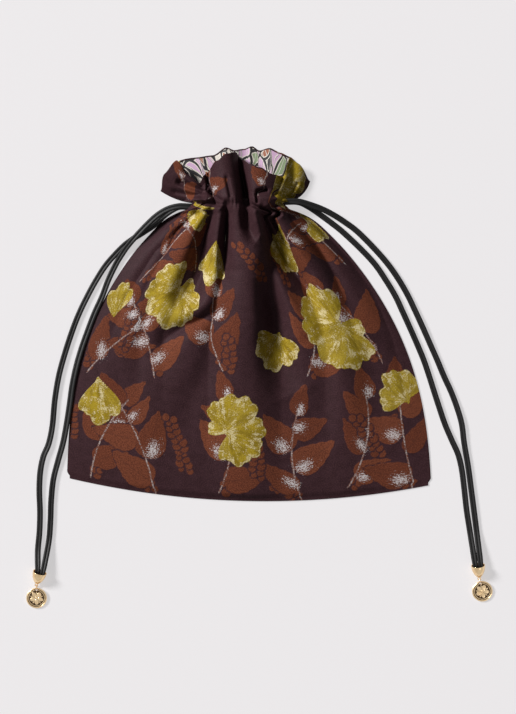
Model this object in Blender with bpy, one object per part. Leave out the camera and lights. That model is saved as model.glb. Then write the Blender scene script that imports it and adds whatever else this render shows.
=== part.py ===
"""A kinchaku: a lined drawstring pouch of brocade, lying on its back with its neck drawn shut.

Metres, +Z up. X runs across the pouch and Y from its bottom seam to its frill. The origin is under
the middle of the cloth, on the surface that the pouch lies on.
"""

import math

import bmesh
import bpy
from mathutils import Matrix, Vector

# Cloth, seen from above
BAG_WIDTH = 0.272
BODY_LENGTH = 0.218
BOTTOM_BOW = 0.014
BOTTOM_TILT = 0.0026
NECK_WIDTH = 0.068
NECK_SHIFT = -0.008
SHOULDER = 0.012
SHOULDER_REACH = 0.0035
SIDE_TAPER = 0.10
SIDE_POWER = 2.6
SEAM_ALLOWANCE = 0.004
FRILL_HEIGHT = 0.0435
FRILL_SETTLES_OVER = 0.0200
FRILL_FAN_DEG = 66.0

# Cloth, through its thickness
OUTER_CLOTH = 0.0010
LINING_CLOTH = 0.0006
PLY_GAP = 0.0003
BELLY_HEIGHT = 0.0118
NECK_HOLE_HEIGHT = 0.0052
NECK_SIDE_HEIGHT = 0.0015
MOUTH_HEIGHT = 0.0106
BACK_FOLD_HEIGHT = 0.0020
BACK_FOLD_LENGTH = 0.035
BACK_FOLDS = 4

# The pleats that run from the neck down the front. Each has its middle at the neck and 0.1 m below it,
# as shares of the half width there, its height, half width at the neck, spread and length.
FRONT_FOLDS = (
    (-0.93, -0.93, 0.0035, 0.0038, 0.08, 0.035),
    (-0.74, -0.80, 0.0045, 0.0045, 0.12, 0.060),
    (-0.52, -0.60, 0.0055, 0.0050, 0.12, 0.080),
    (-0.29, -0.36, 0.0062, 0.0050, 0.12, 0.105),
    (-0.06, -0.10, 0.0080, 0.0056, 0.12, 0.130),
    (0.18, 0.13, 0.0084, 0.0056, 0.12, 0.130),
    (0.36, 0.30, 0.0050, 0.0030, 0.05, 0.035),
    (0.54, 0.62, 0.0064, 0.0052, 0.12, 0.100),
    (0.74, 0.80, 0.0050, 0.0045, 0.12, 0.075),
    (0.92, 0.92, 0.0035, 0.0040, 0.08, 0.045),
)
FOLD_FAR = 0.100
FOLD_SHARPNESS = 4
FOLD_ROUND_AT_NECK = 0.7
FOLD_ROUND_BELOW = 2.2
FOLD_SOFTENS_OVER = 0.050
# The leaves of the front's frill: middle and half width as shares of half the neck, and height.
FRONT_LEAVES = (
    (-0.86, 0.20, 0.0050),
    (-0.38, 0.36, 0.0066),
    (0.40, 0.40, 0.0062),
    (0.90, 0.18, 0.0050),
)
# The frill's edges: side, and distance from the neck line along the cloth.
FRONT_RIM = (
    (-1.00, 0.0270), (-0.90, 0.0335), (-0.79, 0.0375), (-0.74, 0.0230), (-0.68, 0.0165),
    (-0.56, 0.0230), (-0.40, 0.0310), (-0.24, 0.0360), (-0.05, 0.0375), (0.10, 0.0320),
    (0.25, 0.0285), (0.42, 0.0260), (0.62, 0.0215), (0.74, 0.0215), (0.79, 0.0370),
    (0.88, 0.0350), (1.00, 0.0280),
)
BACK_RIM = (
    (-1.00, 0.0270), (-0.88, 0.0345), (-0.76, 0.0375), (-0.60, 0.0365), (-0.46, 0.0370),
    (-0.25, 0.0425), (-0.08, 0.0405), (0.12, 0.0415), (0.29, 0.0435), (0.42, 0.0405),
    (0.57, 0.0425), (0.70, 0.0400), (0.80, 0.0385), (0.90, 0.0345), (1.00, 0.0280),
)

# Drawcords
CORD_DIAMETER = 0.0034
CORD_ROOM = 0.0005
CORD_APART = 0.0004
CHANNEL_MARGIN = 0.0006
CHANNEL_FADE = 0.0040
CORD_STEP = 0.0120
TURN_OUT = 0.0008
TURN_POINTS = 6
RUN_POINTS = 6

# Ends of the cords: bell, ring and charm
FLOOR_CLEARANCE = 0.00005
BELL_MOUTH_RADIUS = 0.0052
BELL_LENGTH = 0.0098
BELL_WALL = 0.0005
# Share of the bell's length, and its radius there as a share of the mouth's.
BELL_PROFILE = ((0.0, 1.0), (0.22, 0.97), (0.48, 0.85), (0.70, 0.66), (0.88, 0.42), (1.0, 0.14))
BELL_SIDES = 16
CORD_DEPTH_IN_BELL = 0.0040
CORD_SPLIT_IN_BELL = 0.0022
WIRE_RADIUS = 0.00035
EYE_RADIUS = 0.0011
RING_RADIUS = 0.0016
LINK_GAP = 0.0002
CHARM_RADIUS = 0.0077
CHARM_THICKNESS = 0.0014
CHARM_RIM_WIDTH = 0.0010
CHARM_FIELD_DEPTH = 0.00035
CHARM_SIDES = 25
PETALS = 5
PETAL_OFFSET = 0.0029
PETAL_RADIUS = 0.0019

# Grid of the cloth
FRONT_COLUMNS = 36
COLUMNS = 24
BODY_ROWS = 10
FRILL_ROWS = 6

# Routes of the free strands, from beside the neck to just before the bell.
LEFT_FRONT_ROUTE = (
    (-0.0520, 0.0877, 0.0112),
    (-0.0605, 0.0856, 0.0098),
    (-0.0685, 0.0810, 0.0084),
    (-0.0753, 0.0750, 0.0072),
    (-0.0812, 0.0690, 0.0062),
    (-0.0870, 0.0628, 0.0048),
    (-0.0919, 0.0570, 0.0031),
    (-0.0960, 0.0510, 0.0020),
    (-0.0996, 0.0450, 0.0018),
    (-0.1054, 0.0330, 0.0018),
    (-0.1101, 0.0205, 0.0018),
    (-0.1158, 0.0080, 0.0018),
    (-0.1208, -0.0050, 0.0018),
    (-0.1254, -0.0180, 0.0018),
    (-0.1293, -0.0315, 0.0018),
    (-0.1324, -0.0460, 0.0018),
    (-0.1345, -0.0610, 0.0018),
    (-0.1368, -0.0760, 0.0018),
    (-0.1393, -0.0890, 0.0018),
    (-0.1432, -0.1030, 0.0018),
    (-0.1466, -0.1165, 0.0018),
    (-0.1482, -0.1320, 0.0018),
    (-0.1488, -0.1480, 0.0018),
    (-0.1500, -0.1630, 0.0022),
)
LEFT_BACK_ROUTE = (
    (-0.0520, 0.0876, 0.0034),
    (-0.0580, 0.0850, 0.0026),
    (-0.0638, 0.0808, 0.0020),
    (-0.0708, 0.0742, 0.0018),
    (-0.0795, 0.0684, 0.0018),
    (-0.0883, 0.0628, 0.0018),
    (-0.0955, 0.0570, 0.0018),
    (-0.1065, 0.0450, 0.0018),
    (-0.1144, 0.0330, 0.0018),
    (-0.1210, 0.0210, 0.0018),
    (-0.1268, 0.0090, 0.0018),
    (-0.1318, -0.0035, 0.0018),
    (-0.1376, -0.0210, 0.0018),
    (-0.1424, -0.0385, 0.0018),
    (-0.1455, -0.0570, 0.0018),
    (-0.1473, -0.0760, 0.0018),
    (-0.1500, -0.0895, 0.0018),
    (-0.1541, -0.0995, 0.0018),
    (-0.1564, -0.1110, 0.0018),
    (-0.1571, -0.1250, 0.0018),
    (-0.1566, -0.1410, 0.0018),
    (-0.1570, -0.1560, 0.0018),
    (-0.1582, -0.1700, 0.0024),
)
RIGHT_FRONT_ROUTE = (
    (0.0370, 0.0911, 0.0112),
    (0.0460, 0.0888, 0.0094),
    (0.0550, 0.0856, 0.0074),
    (0.0641, 0.0810, 0.0052),
    (0.0735, 0.0750, 0.0032),
    (0.0814, 0.0690, 0.0020),
    (0.0934, 0.0570, 0.0018),
    (0.1039, 0.0450, 0.0018),
    (0.1123, 0.0330, 0.0018),
    (0.1192, 0.0210, 0.0018),
    (0.1249, 0.0090, 0.0018),
    (0.1304, -0.0030, 0.0018),
    (0.1357, -0.0150, 0.0018),
    (0.1410, -0.0270, 0.0018),
    (0.1460, -0.0390, 0.0018),
    (0.1515, -0.0510, 0.0018),
    (0.1560, -0.0630, 0.0018),
    (0.1594, -0.0750, 0.0018),
    (0.1612, -0.0890, 0.0018),
    (0.1641, -0.1060, 0.0018),
    (0.1664, -0.1230, 0.0018),
    (0.1686, -0.1400, 0.0018),
    (0.1706, -0.1560, 0.0022),
)
RIGHT_BACK_ROUTE = (
    (0.0370, 0.0911, 0.0034),
    (0.0452, 0.0874, 0.0024),
    (0.0537, 0.0816, 0.0018),
    (0.0626, 0.0750, 0.0018),
    (0.0701, 0.0690, 0.0018),
    (0.0829, 0.0570, 0.0018),
    (0.0941, 0.0450, 0.0018),
    (0.1024, 0.0330, 0.0018),
    (0.1096, 0.0210, 0.0018),
    (0.1152, 0.0090, 0.0018),
    (0.1206, -0.0030, 0.0018),
    (0.1259, -0.0150, 0.0018),
    (0.1309, -0.0270, 0.0018),
    (0.1350, -0.0390, 0.0018),
    (0.1388, -0.0510, 0.0018),
    (0.1427, -0.0630, 0.0018),
    (0.1468, -0.0750, 0.0018),
    (0.1519, -0.0870, 0.0018),
    (0.1566, -0.0975, 0.0018),
    (0.1594, -0.1090, 0.0018),
    (0.1612, -0.1230, 0.0018),
    (0.1631, -0.1400, 0.0018),
    (0.1656, -0.1560, 0.0022),
)
# Each bell's mouth on the surface, and which way the bell and the charm point, from +X.
LEFT_BELL = ((-0.1563, -0.1856), -106.0, -90.0)
RIGHT_BELL = ((0.1712, -0.1805), -83.0, -76.0)

HALF_BAG = BAG_WIDTH / 2 - SEAM_ALLOWANCE
RIM_TALLEST = max(height for _, height in BACK_RIM)
HALF_NECK = NECK_WIDTH / 2 - SEAM_ALLOWANCE
BOTTOM_Y = -(BODY_LENGTH + FRILL_HEIGHT - SEAM_ALLOWANCE) / 2
NECK_Y = BOTTOM_Y + BODY_LENGTH
CORD_RADIUS = CORD_DIAMETER / 2
CORD_SLOT = (CORD_DIAMETER + CORD_APART) / 2
HALF_CHANNEL = CORD_SLOT + CORD_RADIUS + CHANNEL_MARGIN
CHANNEL_REACH = HALF_CHANNEL + CHANNEL_FADE
CHANNEL_PLY = CORD_DIAMETER + 2 * CORD_ROOM


def clear_scene():
    for old in list(bpy.data.objects):
        bpy.data.objects.remove(old)


def material(name, colour, roughness, metallic=0.0):
    made = bpy.data.materials.new(name)
    made.use_nodes = True
    shader = made.node_tree.nodes["Principled BSDF"]
    shader.inputs["Base Color"].default_value = (*colour, 1.0)
    shader.inputs["Roughness"].default_value = roughness
    shader.inputs["Metallic"].default_value = metallic
    made.diffuse_color = (*colour, 1.0)
    return made


def link_object(name, data, finish, parent=None):
    data.materials.append(finish)
    thing = bpy.data.objects.new(name, data)
    bpy.context.scene.collection.objects.link(thing)
    thing.parent = parent
    return thing


def add_mesh(name, bm, finish, parent=None, smooth_deg=50.0):
    bmesh.ops.recalc_face_normals(bm, faces=bm.faces[:])
    mesh = bpy.data.meshes.new(name)
    bm.to_mesh(mesh)
    bm.free()
    mesh.shade_smooth()
    mesh.set_sharp_from_angle(angle=math.radians(smooth_deg))
    return link_object(name, mesh, finish, parent)


def ease(value):
    value = min(1.0, max(0.0, value))
    return value * value * (3 - 2 * value)


def swell(offset):
    """1 at 0, easing to 0 at 1 and -1."""
    return math.cos(math.pi / 2 * offset) ** 2 if abs(offset) < 1 else 0.0


# Outline of the cloth

def half_width(share):
    """Half the lined width at a share of the way up from the bottom seam to the neck."""
    below = (1 - share) * BODY_LENGTH
    shoulder = SHOULDER * (1 - math.exp(-max(0.0, below - HALF_CHANNEL) / SHOULDER_REACH))
    spread = 1 - (1 - SIDE_TAPER) * share**SIDE_POWER - SIDE_TAPER * share
    return HALF_NECK + shoulder + (HALF_BAG - HALF_NECK - SHOULDER) * spread


def centre_x(share):
    return NECK_SHIFT * share**1.5


def frill_length(side, rim):
    """How far the frill's edge lies from the neck, along the cloth, on a smooth line through its rim."""
    for (side_a, low), (side_b, high) in zip(rim, rim[1:]):
        if side <= side_b:
            height = low + (high - low) * ease((side - side_a) / (side_b - side_a))
            break
    return height * FRILL_HEIGHT / RIM_TALLEST


def cloth_rows():
    """Rows of the cloth's grid: body rows by their share of the way up, channel rows by their distance
    from the neck line, and frill rows by their share of the way from the channel to the edge."""
    top_share = 1 - CHANNEL_REACH / BODY_LENGTH
    rows = [("body", top_share * (1 - (1 - row / BODY_ROWS) ** 1.7)) for row in range(BODY_ROWS)]
    for distance in (-CHANNEL_REACH, -HALF_CHANNEL, 0.0, HALF_CHANNEL, CHANNEL_REACH):
        rows.append(("channel", distance))
    return rows + [("frill", row / FRILL_ROWS) for row in range(1, FRILL_ROWS + 1)]


def place(side, row, rim):
    """(x, y, distance above the neck line, share of the way up) of a point of the cloth. Side runs
    from -1 to 1 between the lining's side seams. The outer cloth goes on past them to its own seam."""
    kind, value = row
    inner = max(-1.0, min(1.0, side))
    past = math.copysign(SEAM_ALLOWANCE, side) if side != inner else 0.0
    bottom = BOTTOM_Y + BOTTOM_BOW * inner * inner - BOTTOM_TILT * inner
    if kind == "seam":
        return centre_x(0) + half_width(0) * inner + past, bottom - SEAM_ALLOWANCE, -BODY_LENGTH, 0.0
    if kind == "body":
        y = bottom + (NECK_Y - bottom) * value
        return centre_x(value) + half_width(value) * inner + past, y, y - NECK_Y, value
    if kind == "channel" and value < 0:
        share = 1 + value / BODY_LENGTH
        return centre_x(share) + half_width(share) * inner + past, NECK_Y + value, value, share
    edge = frill_length(inner, rim)
    distance = value if kind == "channel" else CHANNEL_REACH + (edge - CHANNEL_REACH) * value
    fanned = max(0.0, distance - HALF_CHANNEL)
    turn = math.radians(FRILL_FAN_DEG) * inner**3
    x = centre_x(1) + HALF_NECK * inner + fanned * math.sin(turn) + past
    return x, NECK_Y + distance - fanned + fanned * math.cos(turn), distance, 1.0


# Heights of the four panels

def channel_share(distance):
    """1 in the drawcord channel, fading to 0 past its two rows of stitching."""
    return 1 - ease((abs(distance) - HALF_CHANNEL) / CHANNEL_FADE)


def dome(side, distance):
    """1 in the middle of the pouch and 0 at its side seams, fuller over the body than at the neck."""
    power = 2.0 + 1.2 * ease(-distance / (0.5 * BODY_LENGTH))
    return 1 - min(1.0, abs(side)) ** power


def back_fold(side, distance):
    length = max(0.0, -distance) / BACK_FOLD_LENGTH
    return BACK_FOLD_HEIGHT * math.exp(-length * length) * dome(side, distance)


def back_ripple(side):
    return 0.5 - 0.5 * math.cos(math.pi * BACK_FOLDS * (side + 1))


def hollow(side, distance, share):
    """Height of the space between the two linings, which the drawn channel pinches."""
    in_channel = channel_share(distance)
    open_height = MOUTH_HEIGHT if distance > 0 else BELLY_HEIGHT * (1 - (1 - share) ** 2.2)
    middle = open_height + (NECK_HOLE_HEIGHT - open_height) * in_channel
    side_room = NECK_SIDE_HEIGHT * in_channel
    return side_room + (middle - side_room) * dome(side, distance)


def outer_back_under(side, distance, share, x):
    return back_fold(side, distance) * back_ripple(side)


def lining_back_under(side, distance, share, x):
    in_channel = channel_share(distance)
    ripple = back_ripple(side)
    folds = back_fold(side, distance) * (ripple + (1 - ripple) * in_channel)
    return folds + OUTER_CLOTH + PLY_GAP + in_channel * (CHANNEL_PLY + PLY_GAP)


def lining_front_under(side, distance, share, x):
    in_channel = channel_share(distance)
    back = back_fold(side, distance) + OUTER_CLOTH + PLY_GAP + in_channel * (CHANNEL_PLY + PLY_GAP)
    return back + LINING_CLOTH + PLY_GAP + hollow(side, distance, share)


def joined(heights):
    """The highest of several folds, with a crease between each two and no step."""
    return sum(height**FOLD_SHARPNESS for height in heights) ** (1 / FOLD_SHARPNESS)


def front_pleats(x, share, down):
    """Height of the pleats at a distance down from the neck. They soften on the way."""
    roundness = FOLD_ROUND_AT_NECK + (FOLD_ROUND_BELOW - FOLD_ROUND_AT_NECK) * ease(down / FOLD_SOFTENS_OVER)
    heights = []
    for at_neck, far, tall, reach, spread, length in FRONT_FOLDS:
        side = at_neck + (far - at_neck) * down / FOLD_FAR
        offset = (x - centre_x(share) - half_width(share) * side) / (reach + spread * down)
        fade = math.exp(-((down / length) ** 1.6))
        heights.append(tall * fade * max(0.0, 1 - offset * offset) ** roundness)
    return joined(heights)


def front_fold(x, side, distance, share):
    """Height that the front's pleats and the frill's leaves add."""
    if distance <= 0:
        height = front_pleats(x, share, -distance)
    else:
        height = front_pleats(centre_x(1) + HALF_NECK * side, 1.0, 0.0)
        leaves = joined(tall * swell((side - middle) / reach) for middle, reach, tall in FRONT_LEAVES)
        height += (leaves - height) * ease(distance / FRILL_SETTLES_OVER)
    return height * (1 - abs(side) ** 8)


def outer_front_under(side, distance, share, x):
    if abs(side) > 1 and abs(distance) > HALF_CHANNEL:
        return OUTER_CLOTH + PLY_GAP
    side = max(-1.0, min(1.0, side))
    lining_top = lining_front_under(side, distance, share, x) + LINING_CLOTH
    room = PLY_GAP + channel_share(distance) * (CHANNEL_PLY + PLY_GAP)
    return lining_top + room + front_fold(x, side, distance, share)


def cloth_panel(name, finish, columns, rim, under, thickness, seamed):
    """One panel: a grid laid on the pouch's outline, lifted to its height and given its thickness.
    An outer panel has one strip more along its sides and its bottom, down to the seam."""
    rows = cloth_rows()
    sides = [-1 + 2 * column / columns for column in range(columns + 1)]
    if seamed:
        sides = [-1.001] + sides + [1.001]
        rows = [("seam", 0.0)] + rows
    bm = bmesh.new()
    bmesh.ops.create_grid(bm, x_segments=len(sides) - 1, y_segments=len(rows) - 1, size=1)
    for vert in bm.verts:
        side = sides[round((vert.co.x + 1) / 2 * (len(sides) - 1))]
        row = rows[round((vert.co.y + 1) / 2 * (len(rows) - 1))]
        x, y, distance, share = place(side, row, rim)
        if row[0] == "seam":
            side = math.copysign(1.001, side)
        vert.co = (x, y, under(side, distance, share, x))
    lifted = bmesh.ops.extrude_face_region(bm, geom=bm.faces[:], use_keep_orig=True)
    for item in lifted["geom"]:
        if isinstance(item, bmesh.types.BMVert):
            item.co.z += thickness
    return add_mesh(name, bm, finish)


# Drawcords

def smooth_points(route, step):
    """Points about a step apart on a Catmull-Rom curve through the route."""
    route = [Vector(point) for point in route]
    ends = [2 * route[0] - route[1]] + route + [2 * route[-1] - route[-2]]
    fine = [route[0]]
    for a, b, c, d in zip(ends, ends[1:], ends[2:], ends[3:]):
        for part in range(1, 13):
            t = part / 12
            fine.append(
                0.5 * (2 * b + (c - a) * t + (2 * a - 5 * b + 4 * c - d) * t * t
                       + (3 * b - a - 3 * c + d) * t**3)
            )
    walked = [0.0]
    for before, after in zip(fine, fine[1:]):
        walked.append(walked[-1] + (after - before).length)
    count = max(2, round(walked[-1] / step))
    points, at = [], 0
    for index in range(count + 1):
        target = walked[-1] * index / count
        while at < len(fine) - 2 and walked[at + 1] < target:
            at += 1
        share = (target - walked[at]) / (walked[at + 1] - walked[at])
        points.append(fine[at].lerp(fine[at + 1], min(1.0, share)))
    return points


def channel_point(side, slot, front):
    """Middle of a cord inside the front's or the back's channel."""
    side_in = max(-1.0, min(1.0, side))
    x = centre_x(1) + HALF_NECK * side_in
    if front:
        bottom = lining_front_under(side_in, slot, 1.0, x) + LINING_CLOTH + PLY_GAP
    else:
        bottom = back_fold(side_in, slot) + OUTER_CLOTH + PLY_GAP
    past = SEAM_ALLOWANCE * (side - side_in) * HALF_NECK / SEAM_ALLOWANCE
    return Vector((x + past, NECK_Y + slot, bottom + CORD_ROOM + CORD_RADIUS))


def edge_side(slot):
    """The side value where a cord has left the cloth, past the flare below the neck."""
    flare = half_width(1 + min(0.0, slot) / BODY_LENGTH) - HALF_NECK
    return 1 + (SEAM_ALLOWANCE + flare + TURN_OUT) / HALF_NECK


def held_run(hand, slot):
    """The part of a cord that the cloth holds, from the exit on its own side through the front's
    channel, round the other side and back through the back's channel. Hand is -1 for the left."""
    out = edge_side(slot)
    front = [channel_point(hand * out, slot, True)]
    back = [channel_point(hand * out, slot, False)]
    for step in range(RUN_POINTS + 1):
        side = hand * (1 - 2 * step / RUN_POINTS)
        front.append(channel_point(side, slot, True))
        back.append(channel_point(side, slot, False))
    high = channel_point(-hand * out, slot, True)
    low = channel_point(-hand * out, slot, False)
    radius = (high.z - low.z) / 2
    turn = []
    for step in range(TURN_POINTS + 1):
        angle = math.pi * step / TURN_POINTS
        away = Vector((-hand * radius * math.sin(angle), 0, radius * math.cos(angle)))
        turn.append((high + low) / 2 + away)
    return front + turn + back[::-1]


def ring_height():
    return RING_RADIUS + WIRE_RADIUS + FLOOR_CLEARANCE


def bell_height(tilt):
    """Height of the mouth's middle when the tilted bell's side rests on the surface."""
    below = [
        BELL_LENGTH * along * math.sin(tilt) + BELL_MOUTH_RADIUS * radius * math.cos(tilt)
        for along, radius in BELL_PROFILE
    ]
    return max(below) + FLOOR_CLEARANCE


def bell_tilt():
    """How far the bell tips, in radians, so that the ring through its eye rests on the surface too."""
    low, high = 0.0, math.pi / 4
    for _ in range(40):
        middle = (low + high) / 2
        eye_height = bell_height(middle) - (BELL_LENGTH + 2 * EYE_RADIUS) * math.sin(middle)
        low, high = (middle, high) if eye_height > ring_height() else (low, middle)
    return high


def bell_frame(spot, heading_deg):
    """The bell's own frame: origin in its mouth, +X towards its tip and +Z up."""
    tilt = bell_tilt()
    turn = Matrix.Rotation(math.radians(heading_deg), 4, "Z") @ Matrix.Rotation(tilt, 4, "Y")
    return Matrix.Translation((*spot, bell_height(tilt))) @ turn


def drawcord(name, finish, hand, slot, front_route, back_route, bell):
    """One cord: out of its bell, up to the neck, through both channels and back to the bell."""
    frame = bell_frame(bell[0], bell[1])
    run = held_run(hand, slot)
    strands = []
    for route, exit_point, beside in ((front_route, run[0], hand), (back_route, run[-1], -hand)):
        split = CORD_SPLIT_IN_BELL * beside
        mouth = frame @ Vector((-CORD_RADIUS, split, 0))
        end = frame @ Vector((CORD_DEPTH_IN_BELL, split, 0))
        strands.append(smooth_points([exit_point, *route, mouth, end], CORD_STEP))
    points = strands[0][::-1] + run[1:-1] + strands[1]
    curve = bpy.data.curves.new(name, "CURVE")
    curve.dimensions = "3D"
    curve.bevel_depth = CORD_RADIUS
    curve.bevel_resolution = 2
    curve.use_fill_caps = True
    spline = curve.splines.new("POLY")
    spline.points.add(len(points) - 1)
    for slot_point, point in zip(spline.points, points):
        slot_point.co = (*point, 1.0)
    return link_object(name, curve, finish)


# Bells, rings and charms

def torus(bm, radius, wire, sides=16, wire_sides=7):
    """A closed wire ring in the XY plane, added to bm."""
    circle = bmesh.ops.create_circle(bm, segments=wire_sides, radius=wire)["verts"]
    stand = Matrix.Translation((radius, 0, 0)) @ Matrix.Rotation(math.pi / 2, 4, "X")
    bmesh.ops.transform(bm, matrix=stand, verts=circle)
    edges = list({edge for vert in circle for edge in vert.link_edges})
    bmesh.ops.spin(bm, geom=circle + edges, cent=(0, 0, 0), axis=(0, 0, 1), angle=2 * math.pi,
                   steps=sides, use_merge=True)


def apply_boolean(thing, operation, cutter):
    """Join or cut with a guide mesh, then remove the guide."""
    step = thing.modifiers.new(operation.title(), "BOOLEAN")
    step.operation = operation
    step.solver = "EXACT"
    step.object = cutter
    bpy.context.view_layer.update()
    graph = bpy.context.evaluated_depsgraph_get()
    mesh = bpy.data.meshes.new_from_object(thing.evaluated_get(graph))
    thing.modifiers.remove(step)
    old, thing.data = thing.data, mesh
    bpy.data.meshes.remove(old)
    bpy.data.objects.remove(cutter)


def guide(name, bm, finish, frame):
    made = add_mesh(name, bm, finish)
    made.hide_render = True
    made.display_type = "WIRE"
    made.matrix_world = frame
    return made


def bell(name, finish, frame):
    """A turned cap with a round shoulder and a wire eye at its tip."""
    outer = [(BELL_LENGTH * along, BELL_MOUTH_RADIUS * radius) for along, radius in BELL_PROFILE]
    inner = [(0.0, BELL_MOUTH_RADIUS - BELL_WALL)]
    for x, radius in outer[1:-1]:
        inner.append((x - BELL_WALL * 0.4, radius - BELL_WALL))
    profile = [(BELL_LENGTH + 0.0002, 0.0)] + outer[::-1] + inner
    profile.append((inner[-1][0] + BELL_WALL, 0.0))
    bm = bmesh.new()
    verts = [bm.verts.new((x, radius, 0)) for x, radius in profile]
    edges = [bm.edges.new(pair) for pair in zip(verts, verts[1:])]
    bmesh.ops.spin(bm, geom=verts + edges, cent=(0, 0, 0), axis=(1, 0, 0), angle=2 * math.pi,
                   steps=BELL_SIDES, use_merge=True)
    bmesh.ops.remove_doubles(bm, verts=bm.verts[:], dist=1e-6)
    made = add_mesh(name, bm, finish)
    made.matrix_world = frame
    eye = bmesh.new()
    torus(eye, EYE_RADIUS, WIRE_RADIUS)
    at_tip = frame @ Matrix.Translation((BELL_LENGTH + EYE_RADIUS, 0, 0))
    apply_boolean(made, "UNION", guide(name + "_eye", eye, finish, at_tip))
    return made


def charm_height(radius, angle):
    """Height of the charm's face: a raised rim round a five-petalled flower."""
    half = CHARM_THICKNESS / 2
    if radius > CHARM_RADIUS - CHARM_RIM_WIDTH:
        return half
    field = half - CHARM_FIELD_DEPTH
    sector = 2 * math.pi / PETALS
    nearest = (angle + sector / 2) % sector - sector / 2
    point = Vector((radius * math.cos(nearest) - PETAL_OFFSET, radius * math.sin(nearest)))
    return field + CHARM_FIELD_DEPTH * max(swell(point.length / PETAL_RADIUS), 0.8 * swell(radius / 0.0011))


def charm(name, finish, parent):
    """A struck disc with an eye let into its rim. Its hinge, at the parent, is the eye's near wire."""
    bm = bmesh.new()
    rim = CHARM_RADIUS - CHARM_RIM_WIDTH
    radii = [0.0011, PETAL_OFFSET * 0.7, PETAL_OFFSET, PETAL_OFFSET * 1.35, PETAL_OFFSET + PETAL_RADIUS,
             rim, rim + 0.0002, CHARM_RADIUS]
    half = CHARM_THICKNESS / 2
    middle = bm.verts.new((0, 0, charm_height(0, 0)))
    loops = []
    for radius in radii:
        loop = []
        for side in range(CHARM_SIDES):
            angle = 2 * math.pi * side / CHARM_SIDES
            z = charm_height(radius, angle)
            loop.append(bm.verts.new((radius * math.cos(angle), radius * math.sin(angle), z)))
        loops.append(loop)
    low = []
    for side in range(CHARM_SIDES):
        angle = 2 * math.pi * side / CHARM_SIDES
        low.append(bm.verts.new((CHARM_RADIUS * math.cos(angle), CHARM_RADIUS * math.sin(angle), -half)))
    loops.append(low)
    for side in range(CHARM_SIDES):
        after = (side + 1) % CHARM_SIDES
        bm.faces.new((middle, loops[0][side], loops[0][after]))
        for one, two in zip(loops, loops[1:]):
            bm.faces.new((one[side], two[side], two[after], one[after]))
    bm.faces.new(low[::-1])
    reach = CHARM_RADIUS - WIRE_RADIUS
    bmesh.ops.translate(bm, verts=bm.verts[:], vec=(reach, 0, 0))
    made = add_mesh(name, bm, finish, parent)
    bpy.context.view_layer.update()
    at_eye = made.matrix_world @ Matrix.Translation((EYE_RADIUS, 0, 0))
    hole = bmesh.new()
    bmesh.ops.create_cone(hole, cap_ends=True, segments=20, radius1=EYE_RADIUS + WIRE_RADIUS / 2,
                          radius2=EYE_RADIUS + WIRE_RADIUS / 2, depth=2 * CHARM_THICKNESS)
    apply_boolean(made, "DIFFERENCE", guide(name + "_hole", hole, finish, at_eye))
    eye = bmesh.new()
    torus(eye, EYE_RADIUS, WIRE_RADIUS)
    apply_boolean(made, "UNION", guide(name + "_eye", eye, finish, at_eye))
    return made


def hinge(name, matrix):
    empty = bpy.data.objects.new(name, None)
    bpy.context.scene.collection.objects.link(empty)
    empty.matrix_world = matrix
    bpy.context.view_layer.update()
    return empty


def cord_end(hand, placed, finish):
    """Bell, ring and charm of one cord. The ring hinges on the bell's eye and the charm on the ring."""
    spot, heading, charm_heading = placed
    frame = bell_frame(spot, heading)
    bell(hand + "_bell", finish, frame)
    turn = Matrix.Rotation(math.radians(charm_heading), 4, "Z")
    along = turn @ Vector((1, 0, 0))
    yaw = math.radians(charm_heading - heading)
    on_eye = Vector((EYE_RADIUS * math.cos(yaw), EYE_RADIUS * math.sin(yaw), 0))
    ring_hinge = frame @ (Vector((BELL_LENGTH + EYE_RADIUS, 0, 0)) + on_eye)
    wire_inset = RING_RADIUS - 2 * WIRE_RADIUS - LINK_GAP
    pivot = hinge(hand + "_ring_hinge", Matrix.Translation(ring_hinge) @ turn)
    bm = bmesh.new()
    torus(bm, RING_RADIUS, WIRE_RADIUS, sides=20)
    stand = Matrix.Translation((wire_inset, 0, 0)) @ Matrix.Rotation(math.pi / 2, 4, "X")
    bmesh.ops.transform(bm, matrix=stand, verts=bm.verts[:])
    add_mesh(hand + "_ring", bm, finish, pivot)
    far = 2 * (CHARM_RADIUS - WIRE_RADIUS)
    droop = math.asin((ring_height() - CHARM_THICKNESS / 2 - FLOOR_CLEARANCE) / (far + WIRE_RADIUS))
    charm_hinge = ring_hinge + 2 * wire_inset * along
    lie = Matrix.Rotation(droop, 4, "Y")
    charm(hand + "_charm", finish, hinge(hand + "_charm_hinge", Matrix.Translation(charm_hinge) @ turn @ lie))


def build():
    clear_scene()
    brocade = material("brocade", (0.030, 0.012, 0.015), 0.45)
    print_cloth = material("lining_print", (0.50, 0.33, 0.45), 0.55)
    leather = material("leather", (0.012, 0.012, 0.013), 0.40)
    brass = material("brass", (0.88, 0.62, 0.38), 0.18, 1.0)
    cloth_panel("outer_back_panel", brocade, COLUMNS, BACK_RIM, outer_back_under, OUTER_CLOTH, True)
    cloth_panel("lining_back_panel", print_cloth, COLUMNS, BACK_RIM, lining_back_under, LINING_CLOTH, False)
    cloth_panel("lining_front_panel", print_cloth, COLUMNS, FRONT_RIM, lining_front_under, LINING_CLOTH, False)
    cloth_panel("outer_front_panel", brocade, FRONT_COLUMNS, FRONT_RIM, outer_front_under, OUTER_CLOTH, True)
    drawcord("left_drawcord", leather, -1, -CORD_SLOT, LEFT_FRONT_ROUTE, LEFT_BACK_ROUTE, LEFT_BELL)
    drawcord("right_drawcord", leather, 1, CORD_SLOT, RIGHT_FRONT_ROUTE, RIGHT_BACK_ROUTE, RIGHT_BELL)
    cord_end("left", LEFT_BELL, brass)
    cord_end("right", RIGHT_BELL, brass)


build()
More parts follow.
